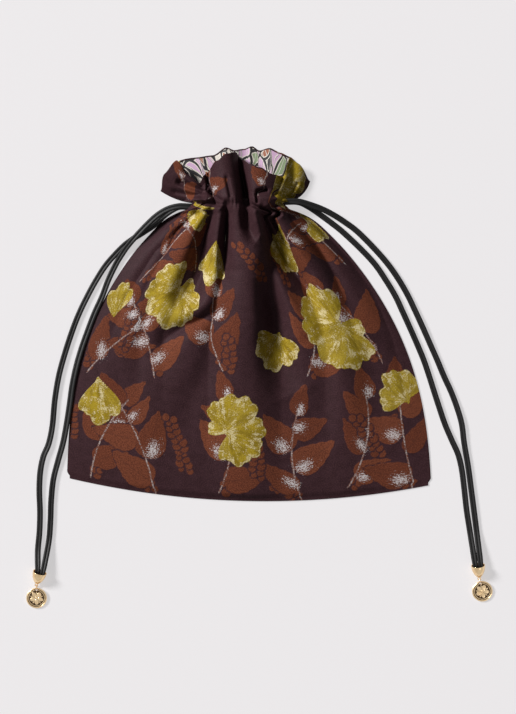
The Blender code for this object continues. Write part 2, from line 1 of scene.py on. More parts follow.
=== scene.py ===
# %% [markdown]
# A kinchaku is a Japanese drawstring pouch. This one is brocade with a printed lining, and it lies on its
# back with the neck drawn shut. Two flat laces run through one channel and leave it at both sides, and
# each lace ends in a turned metal bell with a small charm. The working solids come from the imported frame,
# and every piece here is dressed over them in metres.

# %% The frame
import math

import bmesh
import bpy
import numpy as np
from mathutils import Matrix, Vector


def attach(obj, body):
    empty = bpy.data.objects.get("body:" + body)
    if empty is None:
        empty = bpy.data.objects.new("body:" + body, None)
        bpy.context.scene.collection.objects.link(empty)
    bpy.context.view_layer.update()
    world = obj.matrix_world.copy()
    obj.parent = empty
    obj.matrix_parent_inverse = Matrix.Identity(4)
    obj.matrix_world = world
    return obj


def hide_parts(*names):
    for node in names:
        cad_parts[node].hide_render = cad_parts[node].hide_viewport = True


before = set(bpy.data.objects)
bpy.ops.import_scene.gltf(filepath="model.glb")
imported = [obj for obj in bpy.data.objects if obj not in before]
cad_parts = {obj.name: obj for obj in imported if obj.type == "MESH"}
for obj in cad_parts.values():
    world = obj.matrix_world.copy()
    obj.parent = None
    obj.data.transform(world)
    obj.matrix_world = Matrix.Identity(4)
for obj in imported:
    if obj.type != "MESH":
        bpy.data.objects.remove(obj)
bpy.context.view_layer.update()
MM = 0.001

# %% [markdown]
# The picture looks straight down. A long lens far above keeps the laces as thick at the edge of the frame
# as in its middle. One pixel of the 516 by 714 frame covers 0.75 mm of the table.

# %% Camera
PIXEL = 0.75 * MM
VIEW_HEIGHT = 714 * PIXEL
CAMERA_HEIGHT = 1.6

lens_data = bpy.data.cameras.new("camera")
lens_data.sensor_fit = "VERTICAL"
lens_data.sensor_height = 36
lens_data.lens = 36 * CAMERA_HEIGHT / VIEW_HEIGHT
camera = bpy.data.objects.new("camera", lens_data)
camera.location = (0.00675, -0.02475, CAMERA_HEIGHT)
bpy.context.scene.collection.objects.link(camera)
bpy.context.scene.camera = camera
print("lens of", round(lens_data.lens, 1), "mm")

# %% [markdown]
# A lace is one long flat strip with its edges folded in and stitched. It is easiest to think of it as a
# line with a cross-section: a smooth curve through a few points gives the line, and a grid wrapped round
# that line gives the skin. A rolled grid keeps a texture map that follows the lace, which the stitches
# and the grain need.

# %% Lines
def ease(value):
    value = np.clip(value, 0.0, 1.0)
    return value * value * (3 - 2 * value)


def fade_out(distance, reach, power=2):
    """1 at no distance, and nearly 0 beyond the reach."""
    return np.exp(-((distance / reach) ** power))


def dome(offset, power):
    """A round hump that is 1 at an offset of 0 and ends at 1 and -1."""
    return np.maximum(0, 1 - offset**2) ** power


def walked_along(points):
    """The distance walked from the first point to each point."""
    return np.concatenate([[0], np.cumsum(np.linalg.norm(np.diff(points, axis=0), axis=1))])


def line_length(points):
    return float(walked_along(points)[-1])


def smooth_line(route, step):
    """Points a step apart on a Catmull-Rom curve through the route."""
    route = np.array(route, float)
    ends = np.vstack([2 * route[0] - route[1], route, 2 * route[-1] - route[-2]])
    t = np.linspace(0, 1, 24, endpoint=False)[:, None]
    fine = [0.5 * (2 * b + (c - a) * t + (2 * a - 5 * b + 4 * c - d) * t**2 + (3 * b - a - 3 * c + d) * t**3)
            for a, b, c, d in zip(ends, ends[1:], ends[2:], ends[3:])]
    fine = np.vstack([*fine, route[-1:]])
    walked = walked_along(fine)
    places = np.linspace(0, walked[-1], max(3, round(walked[-1] / step) + 1))
    return np.column_stack([np.interp(places, walked, fine[:, axis]) for axis in range(3)])


# %% [markdown]
# Every free strand is seen from end to end in the picture, so its length is what the picture shows.
# Outside the neck the routes are the same points as in the part's source. The laces come first, because
# everything else has to leave them room.

# %% Routes of the strands
# Tenths of a millimetre. A point without a height has the lace flat on the table.
ON_TABLE = 18
ROUTES = {
    "left_front_strand": (
        (-360, 872, 116), (-447, 874, 115), (-520, 877, 112), (-605, 856, 98), (-685, 810, 84),
        (-753, 750, 72), (-812, 690, 62), (-870, 628, 48), (-919, 570, 31), (-960, 510, 20), (-996, 450),
        (-1054, 330), (-1101, 205), (-1158, 80), (-1208, -50), (-1254, -180), (-1293, -315), (-1324, -460),
        (-1345, -610), (-1368, -760), (-1393, -890), (-1432, -1030), (-1466, -1165), (-1482, -1320),
        (-1488, -1480), (-1500, -1630, 22),
    ),
    "left_back_strand": (
        (-360, 872, 37), (-447, 874, 35), (-520, 876, 34), (-580, 850, 26), (-638, 808, 20), (-708, 742),
        (-795, 684), (-883, 628), (-955, 570), (-1065, 450), (-1144, 330), (-1210, 210), (-1268, 90),
        (-1318, -35), (-1376, -210), (-1424, -385), (-1455, -570), (-1473, -760), (-1500, -895),
        (-1541, -995), (-1564, -1110), (-1571, -1250), (-1566, -1410), (-1570, -1560), (-1582, -1700, 24),
    ),
    "right_front_strand": (
        (190, 908, 117), (268, 912, 115), (370, 911, 112), (460, 888, 94), (550, 856, 74), (641, 810, 52),
        (735, 750, 32), (814, 690, 20), (934, 570), (1039, 450), (1123, 330), (1192, 210), (1249, 90),
        (1304, -30), (1357, -150), (1410, -270), (1460, -390), (1515, -510), (1560, -630), (1594, -750),
        (1612, -890), (1641, -1060), (1664, -1230), (1686, -1400), (1706, -1560, 22),
    ),
    "right_back_strand": (
        (190, 908, 37), (268, 912, 35), (370, 911, 34), (452, 874, 24), (537, 816), (626, 750), (701, 690),
        (829, 570), (941, 450), (1024, 330), (1096, 210), (1152, 90), (1206, -30), (1259, -150),
        (1309, -270), (1350, -390), (1388, -510), (1427, -630), (1468, -750), (1519, -870), (1566, -975),
        (1594, -1090), (1612, -1230), (1631, -1400), (1656, -1560, 22),
    ),
}

# %% [markdown]
# The bells lie on the table with the ring in the tip touching it too, which tips each bell by 18 degrees.
# A frame with its origin in the bell's mouth and X towards the tip makes the turned shapes simple.

# %% Where the bells lie
BELL_TILT = math.radians(17.9937)
BELL_MOUTH_HEIGHT = 0.005707
BELLS = {"left": ((-0.1563, -0.1856), -106.0, -90.0), "right": ((0.1712, -0.1805), -83.0, -76.0)}


def bell_frame(hand):
    spot, heading, _ = BELLS[hand]
    turn = Matrix.Rotation(math.radians(heading), 4, "Z") @ Matrix.Rotation(BELL_TILT, 4, "Y")
    return Matrix.Translation((*spot, BELL_MOUTH_HEIGHT)) @ turn


for hand in BELLS:
    print(hand, "bell's tip points to", [round(v, 2) for v in bell_frame(hand).to_3x3() @ Vector((1, 0, 0))])

# %% [markdown]
# The section of the lace has a flat back and two soft lobes on its face, where the folded edges meet in
# the middle. The strip lies flat and rolls a little from side to side, as a strip that was wound on a
# card does.

# %% Skin of a lace
LACE_WIDTH = 0.0044
LACE_THICK = 0.0023
LACE_STEP = 0.0014
HALF_SECTION = ((-0.50, 0.00), (-0.49, 0.26), (-0.42, 0.44), (-0.28, 0.50), (-0.14, 0.46), (-0.05, 0.34),
                (0.0, 0.27))


def lace_section():
    """The section's outline as shares of width and thickness, once round."""
    face = list(HALF_SECTION) + [(-x, z) for x, z in HALF_SECTION[-2::-1]]
    back = [(0.49, -0.26), (0.42, -0.43), (0.25, -0.49), (0.0, -0.50), (-0.25, -0.49), (-0.42, -0.43),
            (-0.49, -0.26)]
    return np.array(face + back + face[:1])


def recalculated(bm):
    bmesh.ops.recalc_face_normals(bm, faces=bm.faces[:])
    return bm


def new_piece(name, bm, smooth=True):
    """A piece from a finished bmesh."""
    mesh = bpy.data.meshes.new(name)
    bm.to_mesh(mesh)
    bm.free()
    if smooth:
        mesh.shade_smooth()
    piece = bpy.data.objects.new(name, mesh)
    bpy.context.scene.collection.objects.link(piece)
    return piece


def grid(columns, rows, **settings):
    """A flat bmesh grid from -1 to 1, with its columns along X and its rows along Y."""
    bm = bmesh.new()
    bmesh.ops.create_grid(bm, x_segments=columns, y_segments=rows, size=1, **settings)
    return bm


def step_of(place, count):
    """Which of count steps a vertex of a fresh grid is on, from its place between -1 and 1."""
    return round((place + 1) / 2 * (count - 1))


def lace_skin(name, points, roll, width_share):
    """A closed skin wrapped round a line."""
    along = np.gradient(points, axis=0)
    along /= np.linalg.norm(along, axis=1)[:, None]
    across = np.cross(along, (0, 0, 1))
    across /= np.linalg.norm(across, axis=1)[:, None]
    up = np.cross(across, along)
    side = across * np.cos(roll)[:, None] + up * np.sin(roll)[:, None]
    face = up * np.cos(roll)[:, None] - across * np.sin(roll)[:, None]
    section = lace_section()
    skin = grid(len(section) - 1, len(points) - 1, calc_uvs=True)
    walked = walked_along(points)
    uv = skin.loops.layers.uv.verify()
    for loop in (loop for grid_face in skin.faces for loop in grid_face.loops):
        row = step_of(loop.vert.co.y, len(points))
        loop[uv].uv = ((loop.vert.co.x + 1) / 2, walked[row] / LACE_WIDTH)
    for vert in skin.verts:
        place = section[step_of(vert.co.x, len(section))]
        row = step_of(vert.co.y, len(points))
        offset = side[row] * place[0] * LACE_WIDTH * width_share[row] + face[row] * place[1] * LACE_THICK
        vert.co = points[row] + offset
    bmesh.ops.remove_doubles(skin, verts=skin.verts[:], dist=1e-7)
    bmesh.ops.holes_fill(skin, edges=skin.edges[:], sides=len(section))
    return new_piece(name, recalculated(skin))


def lie_down(points, roll):
    """The line lifted so that the rolled strip rests on the table and not in it."""
    rests = LACE_THICK / 2 * np.cos(roll) + 0.42 * LACE_WIDTH * np.abs(np.sin(roll)) + 0.00012
    lowered = points.copy()
    lowered[:, 2] = np.maximum(points[:, 2] - 0.0006, rests)
    return lowered


def strand_roll(count, seed):
    turn = np.random.default_rng(seed)
    at = np.linspace(0, 1, count)
    wave = sum(turn.uniform(0.4, 1) * np.sin(2 * math.pi * (n * at + turn.uniform()))
               for n in (1, 2, 3.3, 5.1))
    return 0.13 * wave * ease(at / 0.08) * ease((1 - at) / 0.08)


def hand_of(name):
    return name.split("_")[0]


# %% Free strands
# Each strand: which side of the bell's mouth it enters, and the seed of its roll.
STRANDS = {"left_front_strand": (1, 3), "left_back_strand": (-1, 5), "right_front_strand": (1, 8),
           "right_back_strand": (-1, 13)}
# The last two points of a strand in the bell's frame: just outside the mouth and inside the cap.
AT_MOUTH, IN_BELL = (-0.0016, 0.0021, -0.0002), (0.0030, 0.0019, 0)
laces, lace_lines = {}, {}
for name, (beside, seed) in STRANDS.items():
    route = [tuple(value / 10000 for value in (*point, ON_TABLE)[:3]) for point in ROUTES[name]]
    for along, out, rise in (AT_MOUTH, IN_BELL):
        route.append(tuple(bell_frame(hand_of(name)) @ Vector((along, out * beside, rise))))
    line = smooth_line(route, LACE_STEP)
    roll = strand_roll(len(line), seed)
    line = lie_down(line, roll)
    narrow = 1 - 0.14 * ease((np.arange(len(line)) - len(line) + 8) / 6)
    laces[name] = lace_skin(name, line, roll, narrow)
    lace_lines[name] = line
    print(name, round(line_length(line), 4), "m long")

# %% [markdown]
# Inside the channel the lace is out of sight, but it is there: it goes in at one side, over the front,
# round the other side seam and back underneath.

# %% Held laces
# Where each lace goes in and where it turns back, and its height over and under the neck's filling.
HELD_X = {"left": (-0.0362, 0.0190), "right": (0.0192, -0.0350)}
HELD_Y = {"left": 0.08735, "right": 0.09115}
HELD_TOP, HELD_LOW = 0.0109, 0.0035
# Its straight part stops short of both places by this much.
HELD_END = 0.0067
# The middle of the neck, which was drawn a little to the left.
NECK_X = -0.008


def held_line(hand):
    sign = -1 if hand == "left" else 1
    (near, far), y = HELD_X[hand], HELD_Y[hand]
    top, low = [(near, y, HELD_TOP)], [(near, y, HELD_LOW)]
    for x in np.linspace(near + HELD_END * -sign, far - HELD_END * -sign, 7):
        lift = max(0.0, 1 - ((x - NECK_X) / 0.030) ** 2)
        top.append((x, y, HELD_TOP + 0.0008 * lift))
        low.append((x, y, HELD_LOW + 0.0020 * lift))
    middle, half = (HELD_TOP + HELD_LOW) / 2, (HELD_TOP - HELD_LOW) / 2
    turn = [(far - sign * 0.0040 * math.sin(a), y, middle + half * math.cos(a))
            for a in np.linspace(0.05, math.pi - 0.05, 7)]
    return smooth_line(top + turn + low[::-1], LACE_STEP)


for hand in BELLS:
    name, line = hand + "_held_lace", held_line(hand)
    laces[name] = lace_skin(name, line, np.zeros(len(line)), np.full(len(line), 0.82))
    print(hand, "lace is held for", round(line_length(line), 3), "m")

# %% [markdown]
# The cloth. Its outline from above is the part's: nearly straight at the bottom, round at the sides, and
# drawn in to a quarter of its width at the neck, with a frill above that fans out again. A regular grid
# is laid on that outline, one axis across and one along, and then lifted to its height.

# %% Outline of the cloth
BODY_LENGTH = 0.218
BOTTOM_Y, NECK_Y = -0.12875, 0.08925
HALF_NECK, HALF_BAG, SEAM = 0.030, 0.132, 0.004
HALF_CHANNEL = 0.0042
# Below the channel the cloth widens at once by a shoulder, and the bottom corners are a little round.
SHOULDER, CORNER = 0.012, 0.0020
# The rows of every cloth are evenly spaced to this far from the neck line.
CHANNEL_END = 0.0082
# The frill's side seams leave the neck at an angle and bend up: radians, and radians a metre.
FAN_START = 0.0012
LEFT_FAN = (math.radians(82), math.radians(24) / 0.024)
RIGHT_FAN = (math.radians(84), math.radians(66) / 0.026)
FRONT_RIM = (
    (-1.00, 0.0270), (-0.90, 0.0335), (-0.79, 0.0375), (-0.74, 0.0230), (-0.68, 0.0165),
    (-0.56, 0.0230), (-0.40, 0.0310), (-0.24, 0.0360), (-0.05, 0.0375), (0.10, 0.0320),
    (0.25, 0.0285), (0.42, 0.0260), (0.62, 0.0215), (0.74, 0.0215), (0.79, 0.0370),
    (0.88, 0.0350), (1.00, 0.0280),
)
BACK_RIM = (
    (-1.00, 0.0270), (-0.88, 0.0345), (-0.76, 0.0375), (-0.60, 0.0365), (-0.46, 0.0370),
    (-0.25, 0.0425), (-0.08, 0.0405), (0.12, 0.0415), (0.29, 0.0435), (0.42, 0.0405),
    (0.57, 0.0425), (0.70, 0.0400), (0.80, 0.0385), (0.90, 0.0345), (1.00, 0.0280),
)


def half_width(down):
    """Half the outer cloth's width at a distance down from the neck."""
    share = np.clip(1 - down / BODY_LENGTH, 0, 1)
    shoulder = SHOULDER * (1 - np.exp(-np.maximum(0, down - HALF_CHANNEL) / 0.0035))
    low = np.maximum(0, down - (BODY_LENGTH - CORNER))
    corner = CORNER - np.sqrt(np.maximum(0, CORNER**2 - low**2))
    widening = (HALF_BAG - HALF_NECK - SHOULDER) * (1 - 0.9 * share**2.6 - 0.1 * share)
    return HALF_NECK + SEAM + shoulder + widening - corner


def centre_x(down):
    return NECK_X * np.clip(1 - down / BODY_LENGTH, 0, 1) ** 1.5


def rim_distance(side, rim):
    """How far the frill's edge is from the neck, eased from point to point."""
    sides, heights = np.array(rim).T
    index = np.clip(np.searchsorted(sides, side) - 1, 0, len(sides) - 2)
    share = (side - sides[index]) / (sides[index + 1] - sides[index])
    return heights[index] + (heights[index + 1] - heights[index]) * ease(share)


def outline(side, up, inset=0.0):
    """Plan position of a point: side -1 to 1 from seam to seam, up is the distance along the cloth from
    the neck line, and negative below it. Inset draws a lining in from the outer seam."""
    down = np.maximum(0, -up)
    share = 1 - down / BODY_LENGTH
    width = half_width(down) - inset
    x = centre_x(down) + width * side
    # The bottom edge rises to both corners, a little more to the left one.
    bottom = BOTTOM_Y + 0.014 * side**2 - 0.0026 * side
    y = np.where(up < 0, bottom + (NECK_Y - bottom) * share, NECK_Y + up)
    near_neck = ease((down - CHANNEL_END) / 0.03)
    y = np.where(up < 0, y * near_neck + (NECK_Y + up) * (1 - near_neck), y)
    fanned = np.maximum(0, up - FAN_START)
    start, bend = [np.where(side < 0, left, right) * side**3 for left, right in zip(LEFT_FAN, RIGHT_FAN)]
    bend = bend + 1e-6
    x = x + (np.cos(start - bend * fanned) - np.cos(start)) / bend
    y = y - fanned + (np.sin(start) - np.sin(start - bend * fanned)) / bend
    return x, y


print("width at the bottom:", round(2 * float(half_width(BODY_LENGTH)), 4))

# %% [markdown]
# Heights. A lined pouch that lies empty is thin at its bottom seam and thickest at the neck, where all
# its cloth is gathered. The pleats are ridges that leave the neck, widen and sink on their way down. Each
# has its middle at four distances from the neck, so it can bend. Taking a smooth maximum of all the
# ridges leaves the sharp dark creases between them that drawn cloth has.

# %% Pleats
MIDDLE_HEIGHT = np.array([
    (-0.222, 2.2), (-0.214, 3.4), (-0.200, 5.2), (-0.180, 7), (-0.140, 9.6), (-0.100, 11.4), (-0.060, 12.2),
    (-0.030, 12.6), (-0.010, 13.6), (0, 14.4), (0.008, 13.2), (0.020, 11.4), (0.045, 10.4)])
STATIONS = (0, 0.020, 0.050, 0.100)
# Each ridge: X at the four stations in mm, half width there, height, reach, and how far it leans right.
RIDGES = (
    ((-34.5, -60, -79, -101), (3, 7, 12, 18), 4.8, 56, 0.1),
    ((-27, -42, -56, -78), (3.6, 8, 12, 19), 7.6, 86, 0.2),
    ((-19.4, -23.6, -27, -42), (4.6, 7.6, 10.5, 20), 10.4, 96, 0.2),
    ((-1.2, 3, 3, 2), (13, 16, 19, 30), 14.6, 140, 0.24),
    ((17.6, 31, 50, 72), (4.4, 9.2, 15, 24), 10.4, 106, -0.36),
    ((24, 46.5, 68, 91), (3.4, 7.6, 12, 20), 6.6, 78, -0.2),
)
# Short gathers at the neck only: X at the neck and 20 mm below it, half width, height, reach in mm.
GATHERS = (
    (-38, -68, 2.2, 3.6, 14), (-30.5, -52, 2.4, 5, 18), (-24.2, -35, 2, 6.8, 20),
    (11.4, 18.4, 2, 9, 24), (21.2, 38, 2, 6, 18),
)
# A fold on top of the broad middle pleat: X at the neck and 20 mm below, half widths, height, reach.
ON_TOP = (5.4, 8.6, 7, 10, 5.6, 31)
# Valleys: points (x, y) of their line in mm, depth, half width, and how soft: 1 is a crease, 2 is round.
VALLEYS = (
    (((10, 87), (13, 76), (16, 66), (20, 57), (27, 46), (38, 33), (49, 17), (66, -4)), 10, 3.6, 1.3),
    (((9, 38), (14, 20), (18, 3), (19, -14), (23, -32), (34, -56)), 10, 7.4, 2),
    (((-17, 90), (-17.4, 70), (-18.4, 50), (-19, 34)), 6, 2.8, 1.7),
    (((-27, 83), (-30.8, 66), (-33, 51), (-35, 37), (-42, 20), (-52, 6)), 10.5, 4.6, 1.6),
    (((-27, 9), (-36, 3), (-48, -2), (-60, -9), (-70, -20)), 6.4, 3.8, 1.4),
    (((-24, 18), (-38, 12), (-56, 6), (-70, -2)), -3.4, 5.6, 2),
    (((18, 46), (24, 28), (34, 8), (44, -14)), -3.6, 4.6, 2),
    (((-8.4, 132), (-6, 115), (-2.8, 101), (-2.4, 90), (-2.2, 80), (-0.6, 72), (3, 65.5),
      (8, 62)), 10, 2.5, 2),
    (((34, 78), (48, 64), (60, 44), (72, 18), (84, -30)), 4.2, 4, 1.4),
    (((36, 84), (52, 72), (76, 48), (94, 22), (108, -12), (117, -50)), 2.2, 1.6, 1),
    (((-44, 78), (-70, 54), (-92, 20), (-108, -22)), 2.4, 3, 1.3),
    (((-62, 44), (-72, 20), (-82, -16), (-84, -60)), 3.6, 5.6, 1.6),
    (((-30, -26), (-44, -58), (-50, -100)), 2.6, 8, 2),
    (((54, -20), (58, -56), (56, -96)), 2.6, 8, 2),
    (((84, -6), (92, -46), (92, -90)), 2, 8, 2),
)


def table(points):
    """A smooth function through (place, value) pairs."""
    places = np.linspace(points[0][0], points[-1][0], 900)
    values = np.interp(places, points[:, 0], points[:, 1])
    reach = 27
    window = np.hanning(2 * reach + 1)
    before, after = 2 * values[0] - values[reach:0:-1], 2 * values[-1] - values[-2:-reach - 2:-1]
    values = np.convolve(np.concatenate([before, values, after]), window / window.sum(), "valid")
    return lambda x: np.interp(x, places, values)


middle_height = table(MIDDLE_HEIGHT)


def pleats(x, down):
    """Height in mm of the pleats, with x and down in metres."""
    power = 0.55 + 1.0 * ease((down - 0.012) / 0.070)
    total = np.zeros_like(x)
    for middles, reaches, tall, length, lean in RIDGES:
        offset = 1000 * x - np.interp(down, STATIONS, middles)
        offset = offset / np.interp(down, STATIONS, reaches)
        offset = offset / (1 - lean * np.sign(offset))
        total += (tall * fade_out(1000 * down, length, 1.6) * dome(offset, power)) ** 5
    for neck, below, reach, tall, length in GATHERS:
        middle = neck + (below - neck) * down / 0.020
        offset = (1000 * x - middle) / (reach * (1 + down / 0.016))
        total += (tall * fade_out(1000 * down, length, 1.8) * dome(offset, 0.6)) ** 5
    neck, below, reach, wider, tall, length = ON_TOP
    middle = neck + (below - neck) * down / 0.020
    offset = (1000 * x - middle) / (reach + (wider - reach) * down / 0.020)
    end_round = np.maximum(0, 1 - (1000 * down / length) ** 2.5) ** 0.8
    return total**0.2 + tall * end_round * dome(offset / (0.3 + 0.7 * end_round), 1.6)


def to_segment(x, y, start, end):
    """Distance from each point to a straight piece, and the share of the way along it."""
    (ax, ay), (bx, by) = start, end
    length = (bx - ax) ** 2 + (by - ay) ** 2
    share = np.clip(((x - ax) * (bx - ax) + (y - ay) * (by - ay)) / length, 0, 1)
    return np.hypot(x - ax - share * (bx - ax), y - ay - share * (by - ay)), share


def line_distance(x, y, points):
    """Distance in mm from each point (x, y in mm) to a line, and the share of the way along it."""
    best = np.full(x.shape, 1e9)
    share = np.zeros(x.shape)
    for index, ends in enumerate(zip(points, points[1:])):
        away, t = to_segment(x, y, *ends)
        share = np.where(away < best, (index + t) / (len(points) - 1), share)
        best = np.minimum(best, away)
    return best, share


# %% [markdown]
# The frill has four leaves, with a deep crease between the two big ones in the middle. Small slits and
# dimples round the neck are where the cloth is pinched by the laces. They are given one by one, as lines
# with a width and a depth.

# %% Leaves and slits
LEAF_STATIONS = (0.0, 0.008, 0.020, 0.033)
# Each leaf: middle and half width across the frill at four distances from the neck line, and height.
LEAVES = (
    ((-0.72, -0.79, -0.81, -0.86), (0.23, 0.23, 0.24, 0.24), 9.0),
    ((-0.18, -0.21, -0.26, -0.30), (0.31, 0.31, 0.30, 0.30), 12.8),
    ((0.57, 0.55, 0.50, 0.46), (0.37, 0.38, 0.39, 0.41), 12.8),
    ((0.97, 0.96, 0.95, 0.95), (0.09, 0.10, 0.12, 0.16), 8.0),
)
# Each slit: two ends in mm, half width in mm, depth in mm.
SLITS = (
    ((5, 97), (14.5, 99.4), 1.7, 5.6),
    ((6.4, 88.5), (5.4, 97), 1.1, 4),
    ((-19, 90), (-31.5, 99.5), 1.2, 4),
    ((-31.5, 99), (-29.6, 118), 0.8, 3.4),
    ((-59, 99.5), (-31, 93.5), 2, 5),
    ((-55, 107), (-31, 97), 2.6, 5.6),
    ((-49, 116), (-32, 101), 2.2, 4.6),
    ((18, 93), (26, 112), 1.6, 3.6),
    ((31, 96), (37, 106), 1.4, 2.6),
    ((-13, 92), (-17, 110), 1.6, 2.2),
)


def leaves(side, up):
    total = np.zeros_like(side)
    for middles, reaches, tall in LEAVES:
        offset = (side - np.interp(up, LEAF_STATIONS, middles)) / np.interp(up, LEAF_STATIONS, reaches)
        total += (tall * dome(offset, 0.55)) ** 5
    return total**0.2


def ripples(x, y, seed, scale):
    """Small uneven waves that run out from the neck, in mm."""
    away = np.hypot(x + 8, y - 100)
    angle = np.arctan2(x + 8, -(y - 128))
    chance = np.random.default_rng(seed)
    total = np.zeros_like(x)
    for _ in range(14):
        rate, slide, tall = chance.uniform(3, 13), chance.uniform(0.008, 0.030), chance.uniform(0.3, 1)
        total += tall * np.sin(rate * angle + slide * away + chance.uniform(0, 7)) / rate**0.5
    return scale * total / 2.2


def cinch_drop(side):
    """How far the frill hangs over the neck line: most under the right leaf."""
    return 0.0052 * fade_out(side - 0.52, 0.24) + 0.0012 * fade_out(side + 0.3, 0.2)


def side_height(up, least, more):
    """Height in mm of a cloth at its side seam, where the channel holds it up."""
    return least + more * (1 - ease((np.abs(up) - 0.0030) / 0.0060))


def front_height(side, up, x, y):
    """Height in mm of the front of the pouch."""
    power = 2.0 + 1.2 * ease(np.maximum(0, -up) / 0.10)
    crown = 1 - np.abs(side) ** power
    at_side = side_height(up, 1.0, 12.8)
    height = at_side + (middle_height(up) - at_side) * crown
    above = up + cinch_drop(side)
    down = np.maximum(0, -above)
    neck_x = centre_x(0) + (HALF_NECK + SEAM) * side
    near = ease((down - 0.001) / 0.006)
    ridge = pleats(neck_x + (x - neck_x) * near, down)
    slow = 0.010 * fade_out(side + 0.12, 0.24)
    change = ease((above + 0.0012 + slow / 2) / (0.0028 + slow))
    ridge = ridge + (leaves(side, np.maximum(0, above)) - ridge) * change
    pinch = 0.50 - 0.44 * fade_out(side + 0.10, 0.26)
    ridge = ridge * (1 - pinch * fade_out(above, 0.0019))
    edge = 1 - np.abs(side) ** 10
    height = height + ridge * edge
    for points, depth, reach, soft in VALLEYS:
        away, share = line_distance(1000 * x, 1000 * y, points)
        ends = np.sin(math.pi * np.clip(share, 0.03, 0.97)) ** 0.6 * edge
        height = height - depth * fade_out(away, reach * (1 + 1.6 * share**2), soft) * ends
    for start, end, reach, depth in SLITS:
        away, share = line_distance(1000 * x, 1000 * y, (start, end))
        taper = np.minimum(1, 6 * np.minimum(share, 1 - share) + 0.15)
        height = height - depth * taper * fade_out(away, reach) * edge
    height = height + ripples(1000 * x, 1000 * y, 4, 0.55) * edge * ease(down / 0.02) * crown**0.3
    fine = 0.30 * np.sin(58 * side + 4 * np.sin(6 * side)) * fade_out(np.abs(above), 0.005, 1.5)
    above_back = 1.0 + 3.4 * crown * fade_out(down, 0.05)
    over_lace = 13.0 * (1 - ease((np.abs(up) - 0.0030) / 0.0040)) * edge
    return np.maximum(height + fine * edge, np.maximum(above_back, over_lace))


# %% [markdown]
# The weaver's repeat is laid out on the flat cloth, before it is gathered. To know where a point of the
# gathered cloth lies on the flat piece, walk along its row over hill and valley. What is missing from the
# cut width is hidden in the creases, so the missing part is spread there.

# %% Flat size
FLAT_WIDTH = 0.272


def flat_across(x, y, z, hidden):
    """Position across the flat cloth for a grid of points, whose rows run across."""
    step = np.sqrt(np.diff(x, axis=1) ** 2 + np.diff(y, axis=1) ** 2 + np.diff(z, axis=1) ** 2)
    missing = np.maximum(0, FLAT_WIDTH - step.sum(axis=1))[:, None]
    share = (hidden[:, 1:] + hidden[:, :-1]) / 2 * np.abs(np.diff(x, axis=1))
    share /= share.sum(axis=1)[:, None]
    total = step + missing * share
    total *= FLAT_WIDTH / total.sum(axis=1)[:, None]
    across = np.concatenate([np.zeros((len(x), 1)), np.cumsum(total, axis=1)], axis=1)
    return across - FLAT_WIDTH / 2


def shape_grid(name, x, y, z, flat_u, flat_v):
    """A sheet from arrays of positions in rows and columns, with its flat place as a texture map."""
    rows, columns = x.shape
    piece = new_piece(name, grid(columns - 1, rows - 1))
    co = np.zeros(len(piece.data.vertices) * 3)
    piece.data.vertices.foreach_get("co", co)
    column, row = [np.rint((co[axis::3] + 1) / 2 * (count - 1)).astype(int)
                   for axis, count in ((0, columns), (1, rows))]
    co = np.column_stack([x[row, column], y[row, column], z[row, column]])
    piece.data.vertices.foreach_set("co", co.ravel())
    flat = piece.data.uv_layers.new(name="flat")
    corner = np.zeros(len(piece.data.loops), int)
    piece.data.loops.foreach_get("vertex_index", corner)
    flat_points = np.column_stack([flat_u[row, column], flat_v[row, column]])
    flat.data.foreach_set("uv", (flat_points[corner] * 10).ravel())
    piece.data.update()
    return piece, flat_points * 1000


# %% [markdown]
# The front of the pouch is one sheet. Its edge at the rim turns over and in, where it is sewn to the
# lining, and its sides turn down to the seam, so no raw edge shows.

# %% Front cloth
SEAM_HEIGHT = 0.00085
# The rows of a cloth grow closer from here to the channel.
WIDE_ROWS_END = -0.060
# The outer cloths have a few rows past the bottom seam, which turn to it.
LOWEST_ROW = -0.222


def spread(start, end, count):
    return start + (end - start) * np.linspace(0, 1, count)


def sheet_arrays(columns, lowest, counts, rim, height, roll=(), inset=0.0):
    """Side, up and position of each point of a cloth. The counts are its rows in the body, near the neck,
    in the channel and in the frill, and the roll is how its edge turns over past the rim. Its last three
    columns lie on each side seam."""
    body, near, channel, frill = counts
    ups = np.concatenate([spread(lowest, WIDE_ROWS_END, body)[:-1],
                          spread(WIDE_ROWS_END, -CHANNEL_END, near)[:-1],
                          spread(-CHANNEL_END, CHANNEL_END, channel)])
    sides = np.concatenate([[-1, -1, -1], np.linspace(-1, 1, columns - 5), [1, 1, 1]])
    side, lower = np.meshgrid(sides, ups)
    edge = rim_distance(sides, rim)
    upper = [CHANNEL_END + (edge - CHANNEL_END) * share for share in np.linspace(0, 1, frill)[1:]]
    up = np.vstack([lower, upper])
    side = np.vstack([side, np.tile(sides, (frill - 1, 1))])
    x, y = outline(side, up, inset)
    z = height(side, up, x, y) * MM
    before_x, before_y = outline(sides, edge - 0.002, inset)
    out = np.column_stack([x[-1] - before_x, y[-1] - before_y])
    out /= np.linalg.norm(out, axis=1)[:, None]
    x = np.vstack([x] + [x[-1] + push * out[:, 0] for push, _ in roll])
    y = np.vstack([y] + [y[-1] + push * out[:, 1] for push, _ in roll])
    z = np.vstack([z] + [z[-1] + drop for _, drop in roll])
    up = np.vstack([up] + [up[-1] + 0.0006 * (index + 1) for index in range(len(roll))])
    side = np.vstack([side] + [sides] * len(roll))
    return side, up, x, y, z


def turn_seam(x, z):
    """The three outer columns go round the side seam, down to the height where both cloths meet."""
    for column, push, share in ((2, 0.0002, 0.2), (1, 0.0004, 0.55), (0, 0.0004, 1.0)):
        for at, sign in ((column, -1), (-1 - column, 1)):
            x[:, at] = x[:, at] + sign * push
            z[:, at] = z[:, at] + (np.minimum(SEAM_HEIGHT, z[:, at]) - z[:, at]) * share


